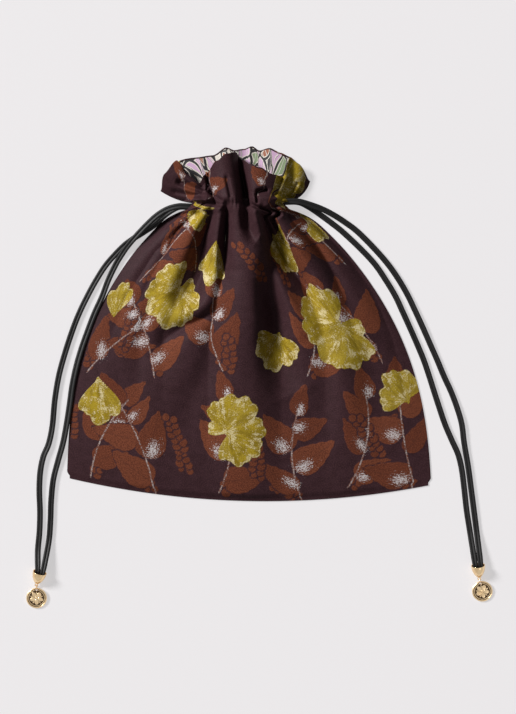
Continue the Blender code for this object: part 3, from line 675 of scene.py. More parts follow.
def say_size(piece):
    area = sum(polygon.area for polygon in piece.data.polygons)
    print(piece.name, "has", 2 * len(piece.data.polygons), "triangles and", round(area, 4), "m2")


FRONT_COLUMNS = 286
ROLL = ((0.00030, -0.00012), (0.00050, -0.00045), (0.00030, -0.00090), (-0.00040, -0.00120),
        (-0.00160, -0.00125))
side, up, x, y, z = sheet_arrays(FRONT_COLUMNS, LOWEST_ROW, (138, 64, 27, 50), FRONT_RIM, front_height, ROLL)
turn_seam(x, z)
z = z + (SEAM_HEIGHT - z) * ease((-0.2160 - up) / 0.006)
ridge_height = pleats(np.where(up > 0, centre_x(0) + (HALF_NECK + SEAM) * side, x), np.maximum(0, -up))
across = flat_across(x, y, z, np.exp(-ridge_height / 1.6) + 0.02)
front_cloth, front_flat = shape_grid("front_cloth", x, y, z, across, up)
say_size(front_cloth)

# %% [markdown]
# The back lies on the table. Seen from below it has shallow folds that leave the neck.

# %% Back cloth
def back_height(side, up, x, y):
    down = np.maximum(0, -up)
    fade = fade_out(down, 0.045, 1.3) * (1 - np.abs(side) ** 4)
    waves = np.abs(np.sin(3.1 * math.pi * side + 0.8 * np.sin(4 * side)))
    folded = 2.4 * fade * (1 - waves**0.7)
    small = 0.35 * fade * (1 + np.sin(47 * side + 2 * np.sin(9 * side)))
    in_frill = ease((up - 0.006) / 0.02)
    lobes = 1.6 * (0.5 + 0.5 * np.cos(7.2 * side + 0.6)) * in_frill * (1 - np.abs(side) ** 4)
    return 0.12 + folded * (1 - 0.6 * in_frill) + small * (1 - in_frill) + lobes


BACK_COLUMNS = 150
BACK_ROLL = ((0.00030, 0.00012), (0.00045, 0.00040), (0.00030, 0.00080), (-0.00040, 0.00100))
side, up, x, y, z = sheet_arrays(BACK_COLUMNS, LOWEST_ROW, (70, 36, 14, 26), BACK_RIM, back_height, BACK_ROLL)
turn_seam(x, z)
for column, share in ((2, 0.2), (1, 0.6), (0, 1.0)):
    for at in (column, -1 - column):
        z[:, at] = z[:, at] + (SEAM_HEIGHT - z[:, at]) * share
z = z + (SEAM_HEIGHT - z) * ease((-0.2180 - up) / 0.004)
across = flat_across(x, y, z, np.exp(-back_height(side, up, x, y) / 0.5) + 0.01)
back_cloth, back_flat = shape_grid("back_cloth", x, y, z, across, up)
say_size(back_cloth)

# %% [markdown]
# The lining is a second bag inside the first. Its front lies about a millimetre below the lowest part of
# the front cloth near it, so that it doesn't come through a crease, and its back lies on the back cloth.
# Only the frill shows them.

# %% Linings
def lining_front_height(side, up, x, y):
    full = front_height(side, up, x, y)
    full = np.minimum.reduce([np.roll(full, shift, axis=1) for shift in range(-3, 4)])
    power = 2.0 + 1.2 * ease(np.maximum(0, -up) / 0.10)
    at_side = side_height(up, 1.0, 8.0)
    plain = at_side + (middle_height(up) - 2.6 - at_side) * (1 - np.abs(side) ** power)
    follow = ease((up - 0.004) / 0.008)
    gap = 0.25 + 0.90 * (1 - np.abs(side) ** 6)
    return np.maximum(0.6, np.minimum(full - gap, plain + (full - gap - plain) * follow))


def lining_back_height(side, up, x, y):
    channel = 1 - ease((np.abs(up) - HALF_CHANNEL) / 0.0050)
    flat_share = 1 - np.abs(side) ** 6
    return back_height(side, up, x, y) + 0.25 + 0.80 * flat_share + 3.4 * channel * flat_share


LINING_COLUMNS = 150
linings = {}
for name, rim, height in (("front_lining", FRONT_RIM, lining_front_height),
                          ("back_lining", BACK_RIM, lining_back_height)):
    rim = [(place, distance - 0.0006) for place, distance in rim]
    side, up, x, y, z = sheet_arrays(LINING_COLUMNS, -0.2175, (40, 30, 16, 34), rim, height, inset=0.0012)
    across = flat_across(x, y, z, 0.02 + np.exp(-np.abs(np.sin(5 * math.pi * side)) * 4))
    linings[name], _ = shape_grid(name, x, y, z, across, up)
    say_size(linings[name])

# %% [markdown]
# The brocade. Its ground is a dark aubergine satin, with sprays of rust leaves and berries, open ochre
# blossoms with pale brushed edges, and silver strokes where a leaf meets its stem. A drawing like this
# has clean edges, so each vertex keeps its signed distance to the nearest leaf, blossom or stem. The
# shader cuts the edge from that distance, which is far sharper than the grid. The motifs and their places
# are made up for this pouch.

# %% Motifs
class Drawing:
    """Distances in mm from the points of a flat cloth to its motifs."""

    # What a point holds before anything is drawn. 9 mm counts as far away.
    EMPTY = {"leaf": 9.0, "along": 0.0, "beside": 0.0, "tone": 0.0, "bloom": 9.0, "radius": 0.0, "ray": 0.0,
             "petal": -9.0, "petal_tone": 0.0, "stem": 9.0, "stem_side": 9.0, "fleck": 0.0}

    def __init__(self, points):
        self.u, self.v = points[:, 0], points[:, 1]
        for name, value in self.EMPTY.items():
            setattr(self, name, np.full(len(points), value))
        self.chance = np.random.default_rng(21)

    def write(self, where, **values):
        """Put new values where the mask holds and leave the old ones elsewhere."""
        for name, value in values.items():
            setattr(self, name, np.where(where, value, getattr(self, name)))

    def lay_over(self, away):
        """Put a new shape over the old ones, with a thin line of ground round it."""
        self.leaf = np.minimum(np.maximum(self.leaf, 1.15 - np.abs(away + 0.1)),
                               np.where(away > -0.1, away, 9.0))
        self.write(away < -0.1, leaf=away)

    def add_leaf(self, u, v, heading, length, width, bend=0.0, flecked=0.0):
        """A broad pointed leaf from its foot at (u, v)."""
        a = math.radians(heading)
        along = (self.u - u) * math.cos(a) + (self.v - v) * math.sin(a)
        beside = -(self.u - u) * math.sin(a) + (self.v - v) * math.cos(a)
        share = np.clip(along / length, 0, 1)
        beside = beside - bend * length * share * (1 - share)
        broad = width / 2 * np.sin(math.pi * share**0.62) ** 0.72 * (1 - 0.30 * share)
        wave = 0.5 * np.sin(along * 0.9 + u) * share
        inside = np.abs(beside) - broad - wave
        away = np.where((along < 0) | (along > length), np.hypot(beside, along - share * length), inside)
        nearer = (away < 0) | (away < self.leaf)
        self.lay_over(away)
        self.write(nearer, along=along, beside=beside, tone=self.chance.uniform())
        side = self.chance.choice((-1, 1)) * 0.12 * width
        stroke = flecked * np.exp(-((along - 0.20 * length) / (0.30 * length)) ** 2
                                  - ((beside - side) / (0.30 * width)) ** 2)
        self.fleck = np.where(nearer, stroke, np.maximum(self.fleck, stroke * (away < 0.6)))

    def add_berry(self, u, v, radius):
        away = np.hypot(self.u - u, self.v - v) - radius
        nearer = (away < 0) | (away < self.leaf)
        self.lay_over(away)
        self.write(nearer, along=self.u - u, beside=self.v - v + 3, tone=0.2 + 0.5 * self.chance.uniform())

    def add_berries(self, u, v, heading, count):
        """A string of berries, two and two along a line."""
        a = math.radians(heading)
        for index in range(count):
            reach = 4 + 4.4 * (index // 2 + 0.5 * (index % 2))
            swing = (1 if index % 2 else -1) * self.chance.uniform(1.4, 3.8) + 0.004 * reach**2
            self.add_berry(u + reach * math.cos(a) - swing * math.sin(a),
                           v + reach * math.sin(a) + swing * math.cos(a), self.chance.uniform(2.2, 3.4))

    def add_stem(self, points):
        for (au, av), (bu, bv) in zip(points, points[1:]):
            away, _ = to_segment(self.u, self.v, (au, av), (bu, bv))
            cross = (bu - au) * (self.v - av) - (bv - av) * (self.u - au)
            self.write(away < self.stem, stem_side=np.where(cross < 0, -away, away), stem=away)

    def add_petal(self, u, v, heading, length, half_deg, ruffle):
        """One petal, a fan from its foot with an uneven end, over whatever is already there."""
        along = self.u - u
        across = self.v - v
        reach = np.hypot(along, across) + 1e-6
        angle = (np.arctan2(across, along) - math.radians(heading) + math.pi) % (2 * math.pi) - math.pi
        share = angle / math.radians(half_deg)
        end = length * np.maximum(0, 1 - np.abs(share) ** 3.0) ** 0.45
        end = end * (1 + ruffle * (0.8 * np.sin(5 * angle + u) - 2.2 * np.abs(np.sin(8 * angle + v)) ** 3))
        away = np.where(np.abs(share) < 1, reach - end, reach)
        self.bloom = np.minimum(self.bloom, away)
        self.write(away < 0, petal=away, radius=reach / length, ray=angle * 2.2 + heading * 0.13,
                   petal_tone=self.chance.uniform())

    def add_bloom(self, u, v, heading, radius, petals):
        """An open blossom of overlapping petals, the back ones first."""
        a = math.radians(heading)
        for turn, half_deg, size, shift in petals:
            foot = a + math.radians(turn)
            foot_u = u - shift * radius * math.cos(a) + 0.05 * radius * math.cos(foot)
            foot_v = v - shift * radius * math.sin(a) + 0.05 * radius * math.sin(foot)
            self.add_petal(foot_u, foot_v, heading + turn, radius * size, half_deg, 0.026)

    def add_spray(self, start, heading, length, curl, leaf_count, leaf_length, berries=0, first=1):
        """A curved stem with leaves on alternate sides and a string of berries beside its foot."""
        points, u, v, a = [], start[0], start[1], heading
        steps = 16
        for _ in range(steps + 1):
            points.append((u, v))
            u += length / steps * math.cos(math.radians(a))
            v += length / steps * math.sin(math.radians(a))
            a += curl / steps
        self.add_stem(points)
        self.add_berries(*start, heading - first * 30, berries)
        for index in range(leaf_count):
            at = (index + 0.75) / leaf_count
            foot = points[min(steps, round(at * steps))]
            side = first * (1 if index % 2 else -1)
            here = heading + curl * at
            size = leaf_length * (1.03 - 0.32 * at) * self.chance.uniform(0.80, 1.10)
            turn = side * self.chance.uniform(34, 66) if index < leaf_count - 1 else 0
            flecked = 1.0 if self.chance.uniform() < 0.62 else 0.0
            self.add_leaf(*foot, here + turn, size, size * self.chance.uniform(0.50, 0.74),
                          0.14 * side, flecked)


# %% [markdown]
# The layout is a list of sprays and blossoms on the flat cloth, in millimetres from its middle and from
# the neck line. Stems mostly climb, as the plants do in such weaves.

# %% Layout
SPRAYS = (
    # start, heading, length, curl, leaves, leaf length, berries, first side
    ((-118, -216), 84, 70, -34, 4, 38, 8, 1),
    ((-70, -222), 100, 76, 30, 5, 40, 9, -1),
    ((-22, -216), 66, 76, 44, 5, 38, 8, 1),
    ((40, -222), 112, 70, -46, 5, 40, 10, -1),
    ((74, -214), 56, 74, 40, 5, 38, 8, 1),
    ((124, -222), 104, 80, -24, 5, 38, 7, -1),
    ((-128, -134), 60, 66, -34, 4, 38, 7, -1),
    ((-74, -132), 104, 66, 34, 5, 38, 9, 1),
    ((-20, -124), 122, 60, -44, 4, 38, 8, 1),
    ((50, -128), 56, 64, 34, 5, 37, 9, 1),
    ((112, -122), 98, 66, 34, 5, 38, 8, -1),
    ((-108, -60), 66, 54, -28, 4, 34, 6, 1),
    ((-54, -50), 112, 46, 34, 4, 32, 5, -1),
    ((64, -52), 66, 50, -36, 4, 33, 7, 1),
    ((122, -46), 110, 50, 26, 4, 32, 5, -1),
    ((-88, 2), 62, 40, 24, 3, 28, 0, 1),
    ((-34, 4), 80, 32, -30, 3, 24, 0, 1),
    ((56, 6), 100, 38, -30, 3, 26, 0, -1),
)
# Strings of berries: start, heading and how many.
BERRIES = ((-46, -206, 98, 20), (6, -208, 86, 16), (98, -196, 104, 16), (-104, -116, 74, 14),
           (16, -60, 108, 14), (-16, -128, 84, 12), (78, -122, 66, 14), (-98, -30, 60, 12), (44, -64, 96, 12),
           (-134, -190, 88, 12))
# Each petal: turn from the blossom's heading, half angle, size, and how far back its foot is.
PETALS_OPEN = ((150, 34, 0.66, -0.1), (-122, 30, 0.80, 0.0), (-88, 30, 0.98, 0.04), (96, 32, 0.88, 0.04),
               (-50, 30, 1.06, 0.10), (58, 32, 1.04, 0.10), (-14, 30, 1.14, 0.18), (24, 30, 1.22, 0.20))
PETALS_FAN = ((-70, 30, 0.86, 0.24), (66, 32, 0.92, 0.24), (-36, 30, 1.10, 0.34), (34, 28, 1.04, 0.34),
              (-2, 30, 1.30, 0.42))
PETALS_BUD = ((-26, 24, 1.20, 0.50), (22, 24, 1.32, 0.54), (-2, 22, 1.56, 0.58))
BLOOMS = (
    (-68, -66, 236, 28, PETALS_OPEN),
    (-34, -40, 262, 22, PETALS_BUD),
    (56, -30, 302, 25, PETALS_FAN),
    (88, -92, 205, 33, PETALS_OPEN),
    (26, -104, 255, 24, PETALS_FAN),
    (-116, -150, 282, 24, PETALS_BUD),
    (-14, -170, 24, 27, PETALS_OPEN),
    (-120, -80, 100, 18, PETALS_BUD),
    (122, -148, 118, 22, PETALS_FAN),
    (104, 16, 70, 28, PETALS_OPEN),
    (-62, -6, 205, 18, PETALS_BUD),
    (110, -14, 330, 18, PETALS_BUD),
)


def draw_brocade(piece, flat_points):
    drawing = Drawing(flat_points)
    for spray in SPRAYS:
        drawing.add_spray(*spray)
    for string in BERRIES:
        drawing.add_berries(*string)
    for bloom in BLOOMS:
        drawing.add_bloom(*bloom)
    near = np.clip(1 - drawing.stem / 3.0, 0, 1)
    for name, parts in (("leaf", (drawing.leaf, drawing.along, drawing.beside)),
                        ("bloom", (drawing.bloom, drawing.petal, drawing.ray)),
                        ("stem", (drawing.stem_side, near, drawing.fleck)),
                        ("shade", (drawing.tone, drawing.radius, drawing.petal_tone))):
        layer = piece.data.attributes.new(name, "FLOAT_VECTOR", "POINT")
        layer.data.foreach_set("vector", np.column_stack(parts).astype(np.float32).ravel())
    print(piece.name, "leaves cover", round(float((drawing.leaf < 0).mean()), 2), "and blossoms",
          round(float((drawing.bloom < 0).mean()), 2))


draw_brocade(front_cloth, front_flat)
draw_brocade(back_cloth, back_flat * np.array([-1, 1]))

# %% [markdown]
# Materials. Sums on sockets are easier to read as sums, so a small class wraps a socket and lets Python's
# own signs add the Math nodes. Every other node comes from one method.

# %% Shader helpers
class Wire:
    """An output socket that can be used in a sum."""

    def __init__(self, nodes, socket):
        self.nodes, self.socket = nodes, socket

    def maths(self, operation, *others):
        values = dict(enumerate((self, *others)))
        return self.nodes.node("ShaderNodeMath", {"operation": operation}, values)

    def __add__(self, other):
        return self.maths("ADD", other)

    def __sub__(self, other):
        return self.maths("SUBTRACT", other)

    def __rsub__(self, other):
        return self.nodes.node("ShaderNodeMath", {"operation": "SUBTRACT"}, {0: other, 1: self})

    def __mul__(self, other):
        return self.maths("MULTIPLY", other)

    def __abs__(self):
        return self.maths("ABSOLUTE")

    __radd__, __rmul__ = __add__, __mul__

    def sine(self):
        return self.maths("SINE")

    def at_least(self, other):
        return self.maths("MAXIMUM", other)

    def rise(self, low, high):
        """0 below low and 1 above high, eased between them."""
        settings = {"interpolation_type": "SMOOTHSTEP"}
        return self.nodes.node("ShaderNodeMapRange", settings, {0: self, 1: low, 2: high, 3: 0.0, 4: 1.0})


def srgb(red, green, blue):
    """A colour as a paint chart gives it, 0 to 255, for a socket."""
    parts = [value / 255 for value in (red, green, blue)]
    return tuple(p / 12.92 if p <= 0.04045 else ((p + 0.055) / 1.055) ** 2.4 for p in parts) + (1.0,)


class Nodes:
    """The nodes of a material or of the world."""

    def __init__(self, owner):
        owner.use_nodes = True
        self.tree = owner.node_tree

    def node(self, kind, settings=None, values=None, out=0):
        """A node with its settings, its sockets' values or links, and the output that is wanted."""
        made = self.tree.nodes.new(kind)
        for name, value in (settings or {}).items():
            setattr(made, name, value)
        for name, value in (values or {}).items():
            self.put(made.inputs[name], value)
        return Wire(self, made.outputs[out])

    def put(self, socket, value):
        """Link a wire or set a value. A colour of three numbers is one from a paint chart."""
        if isinstance(value, Wire):
            self.tree.links.new(value.socket, socket)
        elif socket.type == "RGBA" and len(value) == 3:
            socket.default_value = srgb(*value)
        else:
            socket.default_value = value

    def ray(self, kind):
        """1 for the rays of that kind and 0 for all others."""
        return self.node("ShaderNodeLightPath", out=kind)


class Finish(Nodes):
    """A material."""

    def __init__(self, name):
        self.material = bpy.data.materials.new(name)
        super().__init__(self.material)

    def layers(self, colour, *coats):
        """A colour with coats laid over it, one after another, each where its mask is 1."""
        for mask, coat in coats:
            colour = self.node("ShaderNodeMix", {"data_type": "RGBA"}, {0: mask, 6: colour, 7: coat}, out=2)
        return colour

    def noise(self, vector, scale, detail=3.0, roughness=0.55):
        values = {"Vector": vector, "Scale": scale, "Detail": detail, "Roughness": roughness}
        return self.node("ShaderNodeTexNoise", {}, values)

    def vector(self, x, y):
        return self.node("ShaderNodeCombineXYZ", {}, {0: x, 1: y})

    def split(self, vector):
        """The three numbers of a vector."""
        made = self.tree.nodes.new("ShaderNodeSeparateXYZ")
        self.put(made.inputs[0], vector)
        return [Wire(self, output) for output in made.outputs]

    def attribute(self, name, out="Vector"):
        return self.node("ShaderNodeAttribute", {"attribute_name": name}, out=out)

    def flat_place(self):
        """The place on the flat cloth in mm."""
        flat = self.node("ShaderNodeUVMap", {"uv_map": "flat"})
        return self.node("ShaderNodeVectorMath", {"operation": "MULTIPLY"}, {0: flat, 1: (100, 100, 1)})

    def bump(self, height, strength, distance, **normal):
        values = {"Height": height, "Strength": strength, "Distance": distance}
        return self.node("ShaderNodeBump", {}, {**values, **normal})

    def finish_as(self, **values):
        shader = self.tree.nodes["Principled BSDF"]
        for name, value in values.items():
            self.put(shader.inputs[name.replace("_", " ").title().replace("Ior", "IOR")], value)
        return self.material


# %% [markdown]
# Brocade up close: a dark satin ground with a weak shine, and figures in thicker matt yarns that stand a
# little proud. The thread is about 0.35 mm, just below what the picture shows, so it is soft. Every edge
# of a figure steps with the threads, which a little noise on the distance gives.

# %% Brocade
def brocade():
    paint = Finish("brocade")
    threads = paint.flat_place()
    leaf, along, beside = paint.split(paint.attribute("leaf"))
    bloom, petal, ray = paint.split(paint.attribute("bloom"))
    stem_side, stem_near, fleck = paint.split(paint.attribute("stem"))
    tone, radius, petal_tone = paint.split(paint.attribute("shade"))
    ragged = (paint.noise(threads, 0.9, 4, 0.7) - 0.5) * 2.0
    mottle = paint.noise(threads, 0.16, 4, 0.6)
    cloudy = paint.noise(threads, 0.34, 4, 0.65)
    grain = paint.noise(threads, 1.25, 3, 0.75)
    fine = paint.noise(threads, 0.95, 2, 0.85)
    patch = paint.noise(threads, 0.12, 3, 0.6)
    leaf_mask = 1 - (leaf + ragged).rise(-0.25, 0.25)
    twig_mask = (1 - (abs(stem_side) + ragged * 0.3).rise(0.35, 0.75)) * stem_near.rise(0.45, 0.6)
    bloom_mask = 1 - (bloom + ragged * 1.2).rise(-0.3, 0.3)
    ground = paint.layers((43, 25, 29), (mottle.rise(0.3, 0.7), (53, 33, 38)),
                          (grain.rise(0.46, 0.58) * 0.5, (78, 53, 55)))
    vein = (1 - abs(beside).rise(0.20, 0.70)) * 0.22
    rust = paint.layers((96, 50, 35), (tone, (114, 63, 44)),
                        (cloudy.rise(0.45, 0.70) * 0.4, (70, 37, 29)),
                        (grain.rise(0.50, 0.58) * 0.65, (60, 32, 26)),
                        ((1 - grain.rise(0.38, 0.46)) * 0.55, (132, 76, 54)),
                        (vein, (60, 36, 32)))
    strokes = paint.noise(paint.vector(ray * 1.5, radius * 0.7), 2.4, 4, 0.70)
    broad = paint.noise(paint.vector(ray * 1.1, radius * 1.8), 1.2, 4, 0.65)
    tip = petal.rise(-6.0, -0.2)
    near_foot = 1 - radius.rise(0.18, 0.45)
    brushed = (strokes * 0.75 + patch * 0.80 + fine * 0.75 + tip * 0.08 + near_foot * 0.05).rise(1.235, 1.275)
    hem_line = petal.rise(-1.2, -0.7) * (grain + cloudy * 0.9).rise(0.93, 1.02)
    fold_line = (petal.rise(-2.4, -1.7) - petal.rise(-1.6, -1.1)) * 0.45
    ochre = paint.layers((128, 106, 24), (broad.rise(0.38, 0.62), (168, 144, 40)),
                         (petal_tone * 0.30, (176, 154, 70)),
                         (grain.rise(0.48, 0.58) * 0.55, (104, 82, 22)),
                         (brushed * 0.85, (206, 192, 150)),
                         (hem_line * 0.9, (212, 200, 168)),
                         (fold_line * broad.rise(0.3, 0.6), (104, 84, 24)))
    streak = paint.noise(paint.vector(beside * 1.1, along * 0.22), 1.1, 3, 0.7)
    silver_mask = (streak * 0.60 + fine * 0.85 + fleck * 0.36).rise(1.02, 1.06) * fleck.rise(0.05, 0.14)
    stem_silver = (fine * 0.8 + mottle * 0.4).rise(0.55, 0.68) * twig_mask
    colour = paint.layers(ground, (twig_mask, (108, 64, 50)), (leaf_mask, rust),
                          (stem_silver * 0.8, (176, 170, 168)), (bloom_mask, ochre),
                          (silver_mask * (1 - bloom_mask) * 0.92, (196, 190, 190)))
    figure = leaf_mask.at_least(bloom_mask)
    relief = paint.bump(grain, 0.35, 0.00025, Normal=paint.bump(figure, 0.35, 0.0003))
    return paint.finish_as(base_color=colour, roughness=0.54 + figure * 0.20 + grain * 0.08, normal=relief,
                           specular_ior_level=0.06)


brocade_finish = brocade()
print("brocade has", len(brocade_finish.node_tree.nodes), "nodes")

# %% [markdown]
# The lining is a smooth printed cloth: bands and patches of pink, sage and cream inside black lines.

# %% Lining print
# Where each patch colour starts on the ramp, and the colour.
PATCH_COLOURS = ((0.0, 214, 178, 206), (0.30, 232, 224, 214), (0.44, 140, 158, 122), (0.58, 150, 92, 66),
                 (0.70, 206, 170, 200), (0.84, 38, 33, 36))


def lining_print():
    paint = Finish("lining_print")
    place = paint.flat_place()
    drift = paint.node("ShaderNodeTexNoise", {}, {"Vector": place, "Scale": 0.035, "Detail": 1.0},
                       out="Color")
    bent = paint.node("ShaderNodeVectorMath", {"operation": "MULTIPLY_ADD"},
                      {0: drift, 1: (26, 26, 0), 2: place})
    cell = {"Vector": bent, "Scale": 0.078, "Randomness": 1.0}
    flat = {"voronoi_dimensions": "2D"}
    edge = paint.node("ShaderNodeTexVoronoi", {"feature": "DISTANCE_TO_EDGE", **flat}, cell)
    pick = paint.node("ShaderNodeSeparateColor", {},
                      {0: paint.node("ShaderNodeTexVoronoi", {"feature": "F1", **flat}, cell, out="Color")})
    patches = paint.node("ShaderNodeValToRGB", {}, {0: pick})
    ramp = patches.socket.node.color_ramp
    for index, (start, *shade) in enumerate(PATCH_COLOURS):
        stop = ramp.elements[index] if index < 2 else ramp.elements.new(start)
        stop.position, stop.color = start, srgb(*shade)
    ramp.interpolation = "CONSTANT"
    bands = paint.node("ShaderNodeTexWave", {"wave_type": "BANDS", "bands_direction": "X"},
                       {"Vector": bent, "Scale": 0.035, "Distortion": 2.0, "Detail": 0.0}, out="Fac")
    line = (1 - edge.rise(0.072, 0.098)).at_least(1 - abs(bands - 0.5).rise(0.03, 0.055))
    colour = paint.layers(patches, (1 - abs(bands - 0.62).rise(0.10, 0.13), (228, 220, 212)),
                          (1 - edge.rise(0.13, 0.15), (230, 222, 210)), (line, (34, 30, 33)))
    weave = paint.noise(place, 3.0, 2, 0.6)
    return paint.finish_as(base_color=colour, roughness=0.50 + weave * 0.1,
                           normal=paint.bump(weave, 0.15, 0.0001))


lining_finish = lining_print()

# %% [markdown]
# The lace is a folded strip of coated leather: nearly black, with a soft shine on its lobes, a darker
# line where its edges meet and small even stitches beside it. The texture map runs once round the section
# and along the lace in lace widths.

# %% Leather lace
# The folded edges meet at this share of the way round the section.
JOIN_AT = 0.30


def lace_leather():
    paint = Finish("lace_leather")
    around, along, _ = paint.split(paint.node("ShaderNodeUVMap", {"uv_map": "UVMap"}))
    grain = paint.noise(paint.vector(around * 6, along * 3.5), 2.6, 4, 0.65)
    pores = paint.node("ShaderNodeTexVoronoi", {"feature": "F1"},
                       {"Vector": paint.vector(around * 14, along * 7), "Scale": 2.4})
    from_join = abs(around - JOIN_AT)
    join = 1 - from_join.rise(0.010, 0.030)
    stitch = (1 - abs(from_join - 0.075).rise(0.008, 0.020)) * (along * 9.0).sine().rise(0.0, 0.4)
    wear = paint.noise(paint.vector(around * 2, along * 0.8), 1.4, 3, 0.6)
    colour = paint.layers((17, 16, 16), (grain.rise(0.35, 0.75), (31, 29, 29)), (stitch * 0.6, (66, 68, 64)),
                          (join * 0.5, (14, 14, 15)))
    relief = paint.bump(stitch - join, 0.5, 0.00020, Normal=paint.bump(pores * 0.5 + grain, 0.25, 0.00012))
    return paint.finish_as(base_color=colour, roughness=0.40 + wear * 0.18, normal=relief,
                           specular_ior_level=0.24)


lace_finish = lace_leather()

# %% [markdown]
# Metal looks like what it reflects. The bells are plated a pale warm gold and polished, so their base
# colour is simple. Tiny dents in the bump keep the highlight from being perfect. The charms are struck,
# duller, and dark with patina where their field lies deep.

# %% Pale gold
def pale_gold(name, rough, mark, struck=False):
    paint = Finish(name)
    place = paint.node("ShaderNodeTexCoord", out="Object")
    smear = paint.noise(place, 260, 3, 0.6)
    fine = paint.noise(place, 1500, 2, 0.5)
    colour = paint.layers((250, 222, 178), (smear.rise(0.35, 0.7), (240, 206, 158)))
    if struck:
        colour = paint.layers(colour, (paint.attribute("recess", out="Fac"), (64, 44, 30)))
    return paint.finish_as(base_color=colour, metallic=1.0, roughness=rough + smear * 0.10,
                           normal=paint.bump(fine + smear * 0.6, mark, 0.00006))


gold_finish = pale_gold("brass", 0.14, 0.10)
struck_finish = pale_gold("brass_struck", 0.26, 0.25, struck=True)

# %% [markdown]
# A bell is a turned cap. Its outline is drawn once and spun round the X axis, which is what a lathe does.
# The wall is closed inside, and the mouth has a thin rolled lip.

# %% Bells
BELL_LENGTH, MOUTH_RADIUS, WALL = 0.0098, 0.0052, 0.0005
EYE_RADIUS, WIRE_RADIUS = 0.0011, 0.00035
RING_RADIUS, LINK_GAP = 0.0016, 0.0002
BELL_PROFILE = ((0.0, 1.0), (0.06, 1.0), (0.22, 0.975), (0.36, 0.925), (0.48, 0.855), (0.60, 0.765),
                (0.70, 0.665), (0.80, 0.545), (0.88, 0.425), (0.95, 0.29), (1.0, 0.14))


def spun(profile, steps):
    """A profile of (x, radius) pairs turned once round the X axis."""
    bm = bmesh.new()
    verts = [bm.verts.new((x, radius, 0)) for x, radius in profile]
    edges = [bm.edges.new(pair) for pair in zip(verts, verts[1:])]
    bmesh.ops.spin(bm, geom=verts + edges, cent=(0, 0, 0), axis=(1, 0, 0), angle=2 * math.pi, steps=steps,
                   use_merge=True)
    bmesh.ops.remove_doubles(bm, verts=bm.verts[:], dist=1e-7)
    return bm


def add_ring(bm, radius, wire, matrix, steps=48, wire_steps=14):
    """A closed wire ring in the XY plane of the matrix."""
    circle = bmesh.ops.create_circle(bm, segments=wire_steps, radius=wire)["verts"]
    stand = Matrix.Translation((radius, 0, 0)) @ Matrix.Rotation(math.pi / 2, 4, "X")
    bmesh.ops.transform(bm, matrix=stand, verts=circle)
    before = set(bm.verts) - set(circle)
    edges = list({edge for vert in circle for edge in vert.link_edges})
    bmesh.ops.spin(bm, geom=circle + edges, cent=(0, 0, 0), axis=(0, 0, 1), angle=2 * math.pi, steps=steps,
                   use_merge=True)
    made = [vert for vert in bm.verts if vert not in before]
    bmesh.ops.transform(bm, matrix=matrix, verts=made)


def finer(profile):
    """More points on a smooth curve through a short outline."""
    return [(p[0], p[1]) for p in smooth_line([(x, r, 0) for x, r in profile], 0.00022)]


def bell_mesh(hand):
    outer = finer([(BELL_LENGTH * x, MOUTH_RADIUS * r) for x, r in BELL_PROFILE])
    lip = [(0.0, MOUTH_RADIUS), (-0.00012, MOUTH_RADIUS - 0.0001), (-0.00015, MOUTH_RADIUS - 0.00025),
           (-0.00008, MOUTH_RADIUS - 0.00042), (0.0002, MOUTH_RADIUS - WALL)]
    inner = [(BELL_LENGTH * x - WALL * 0.4, MOUTH_RADIUS * r - WALL) for x, r in BELL_PROFILE[2:-2]]
    profile = [(BELL_LENGTH + 0.0002, 0.0)] + outer[::-1] + lip[1:] + inner + [(inner[-1][0] + 0.0003, 0.0)]
    bm = spun(profile, 72)
    add_ring(bm, EYE_RADIUS, WIRE_RADIUS, Matrix.Translation((BELL_LENGTH + EYE_RADIUS - 0.0001, 0, 0)))
    bmesh.ops.transform(bm, matrix=bell_frame(hand), verts=bm.verts[:])
    return recalculated(bm)


# %% [markdown]
# The ring links the bell's eye and the charm. All three lie on the table, so their places follow from
# each other: the ring's wire touches the far side of the eye, and the charm's eye hangs on the ring.

# %% Rings and charms
CHARM_RADIUS, CHARM_THICK = 0.0077, 0.0014
# How far the field behind the flower lies below the charm's highest parts.
FIELD_DEPTH = 0.00035
CHARM_LIE = math.radians(4.7643)
PETALS = 5


def hinge_frames(hand):
    """Where the ring turns on the bell's eye, and where the charm turns on the ring."""
    _, heading, charm_heading = BELLS[hand]
    yaw = math.radians(charm_heading - heading)
    on_eye = Vector((BELL_LENGTH + EYE_RADIUS + EYE_RADIUS * math.cos(yaw), EYE_RADIUS * math.sin(yaw), 0))
    turn = Matrix.Rotation(math.radians(charm_heading), 4, "Z")
    at = bell_frame(hand) @ on_eye
    inset = RING_RADIUS - 2 * WIRE_RADIUS - LINK_GAP
    ring = Matrix.Translation(at) @ turn
    hung = Matrix.Translation(at + 2 * inset * (turn @ Vector((1, 0, 0))))
    return ring, inset, hung @ turn @ Matrix.Rotation(CHARM_LIE, 4, "Y")


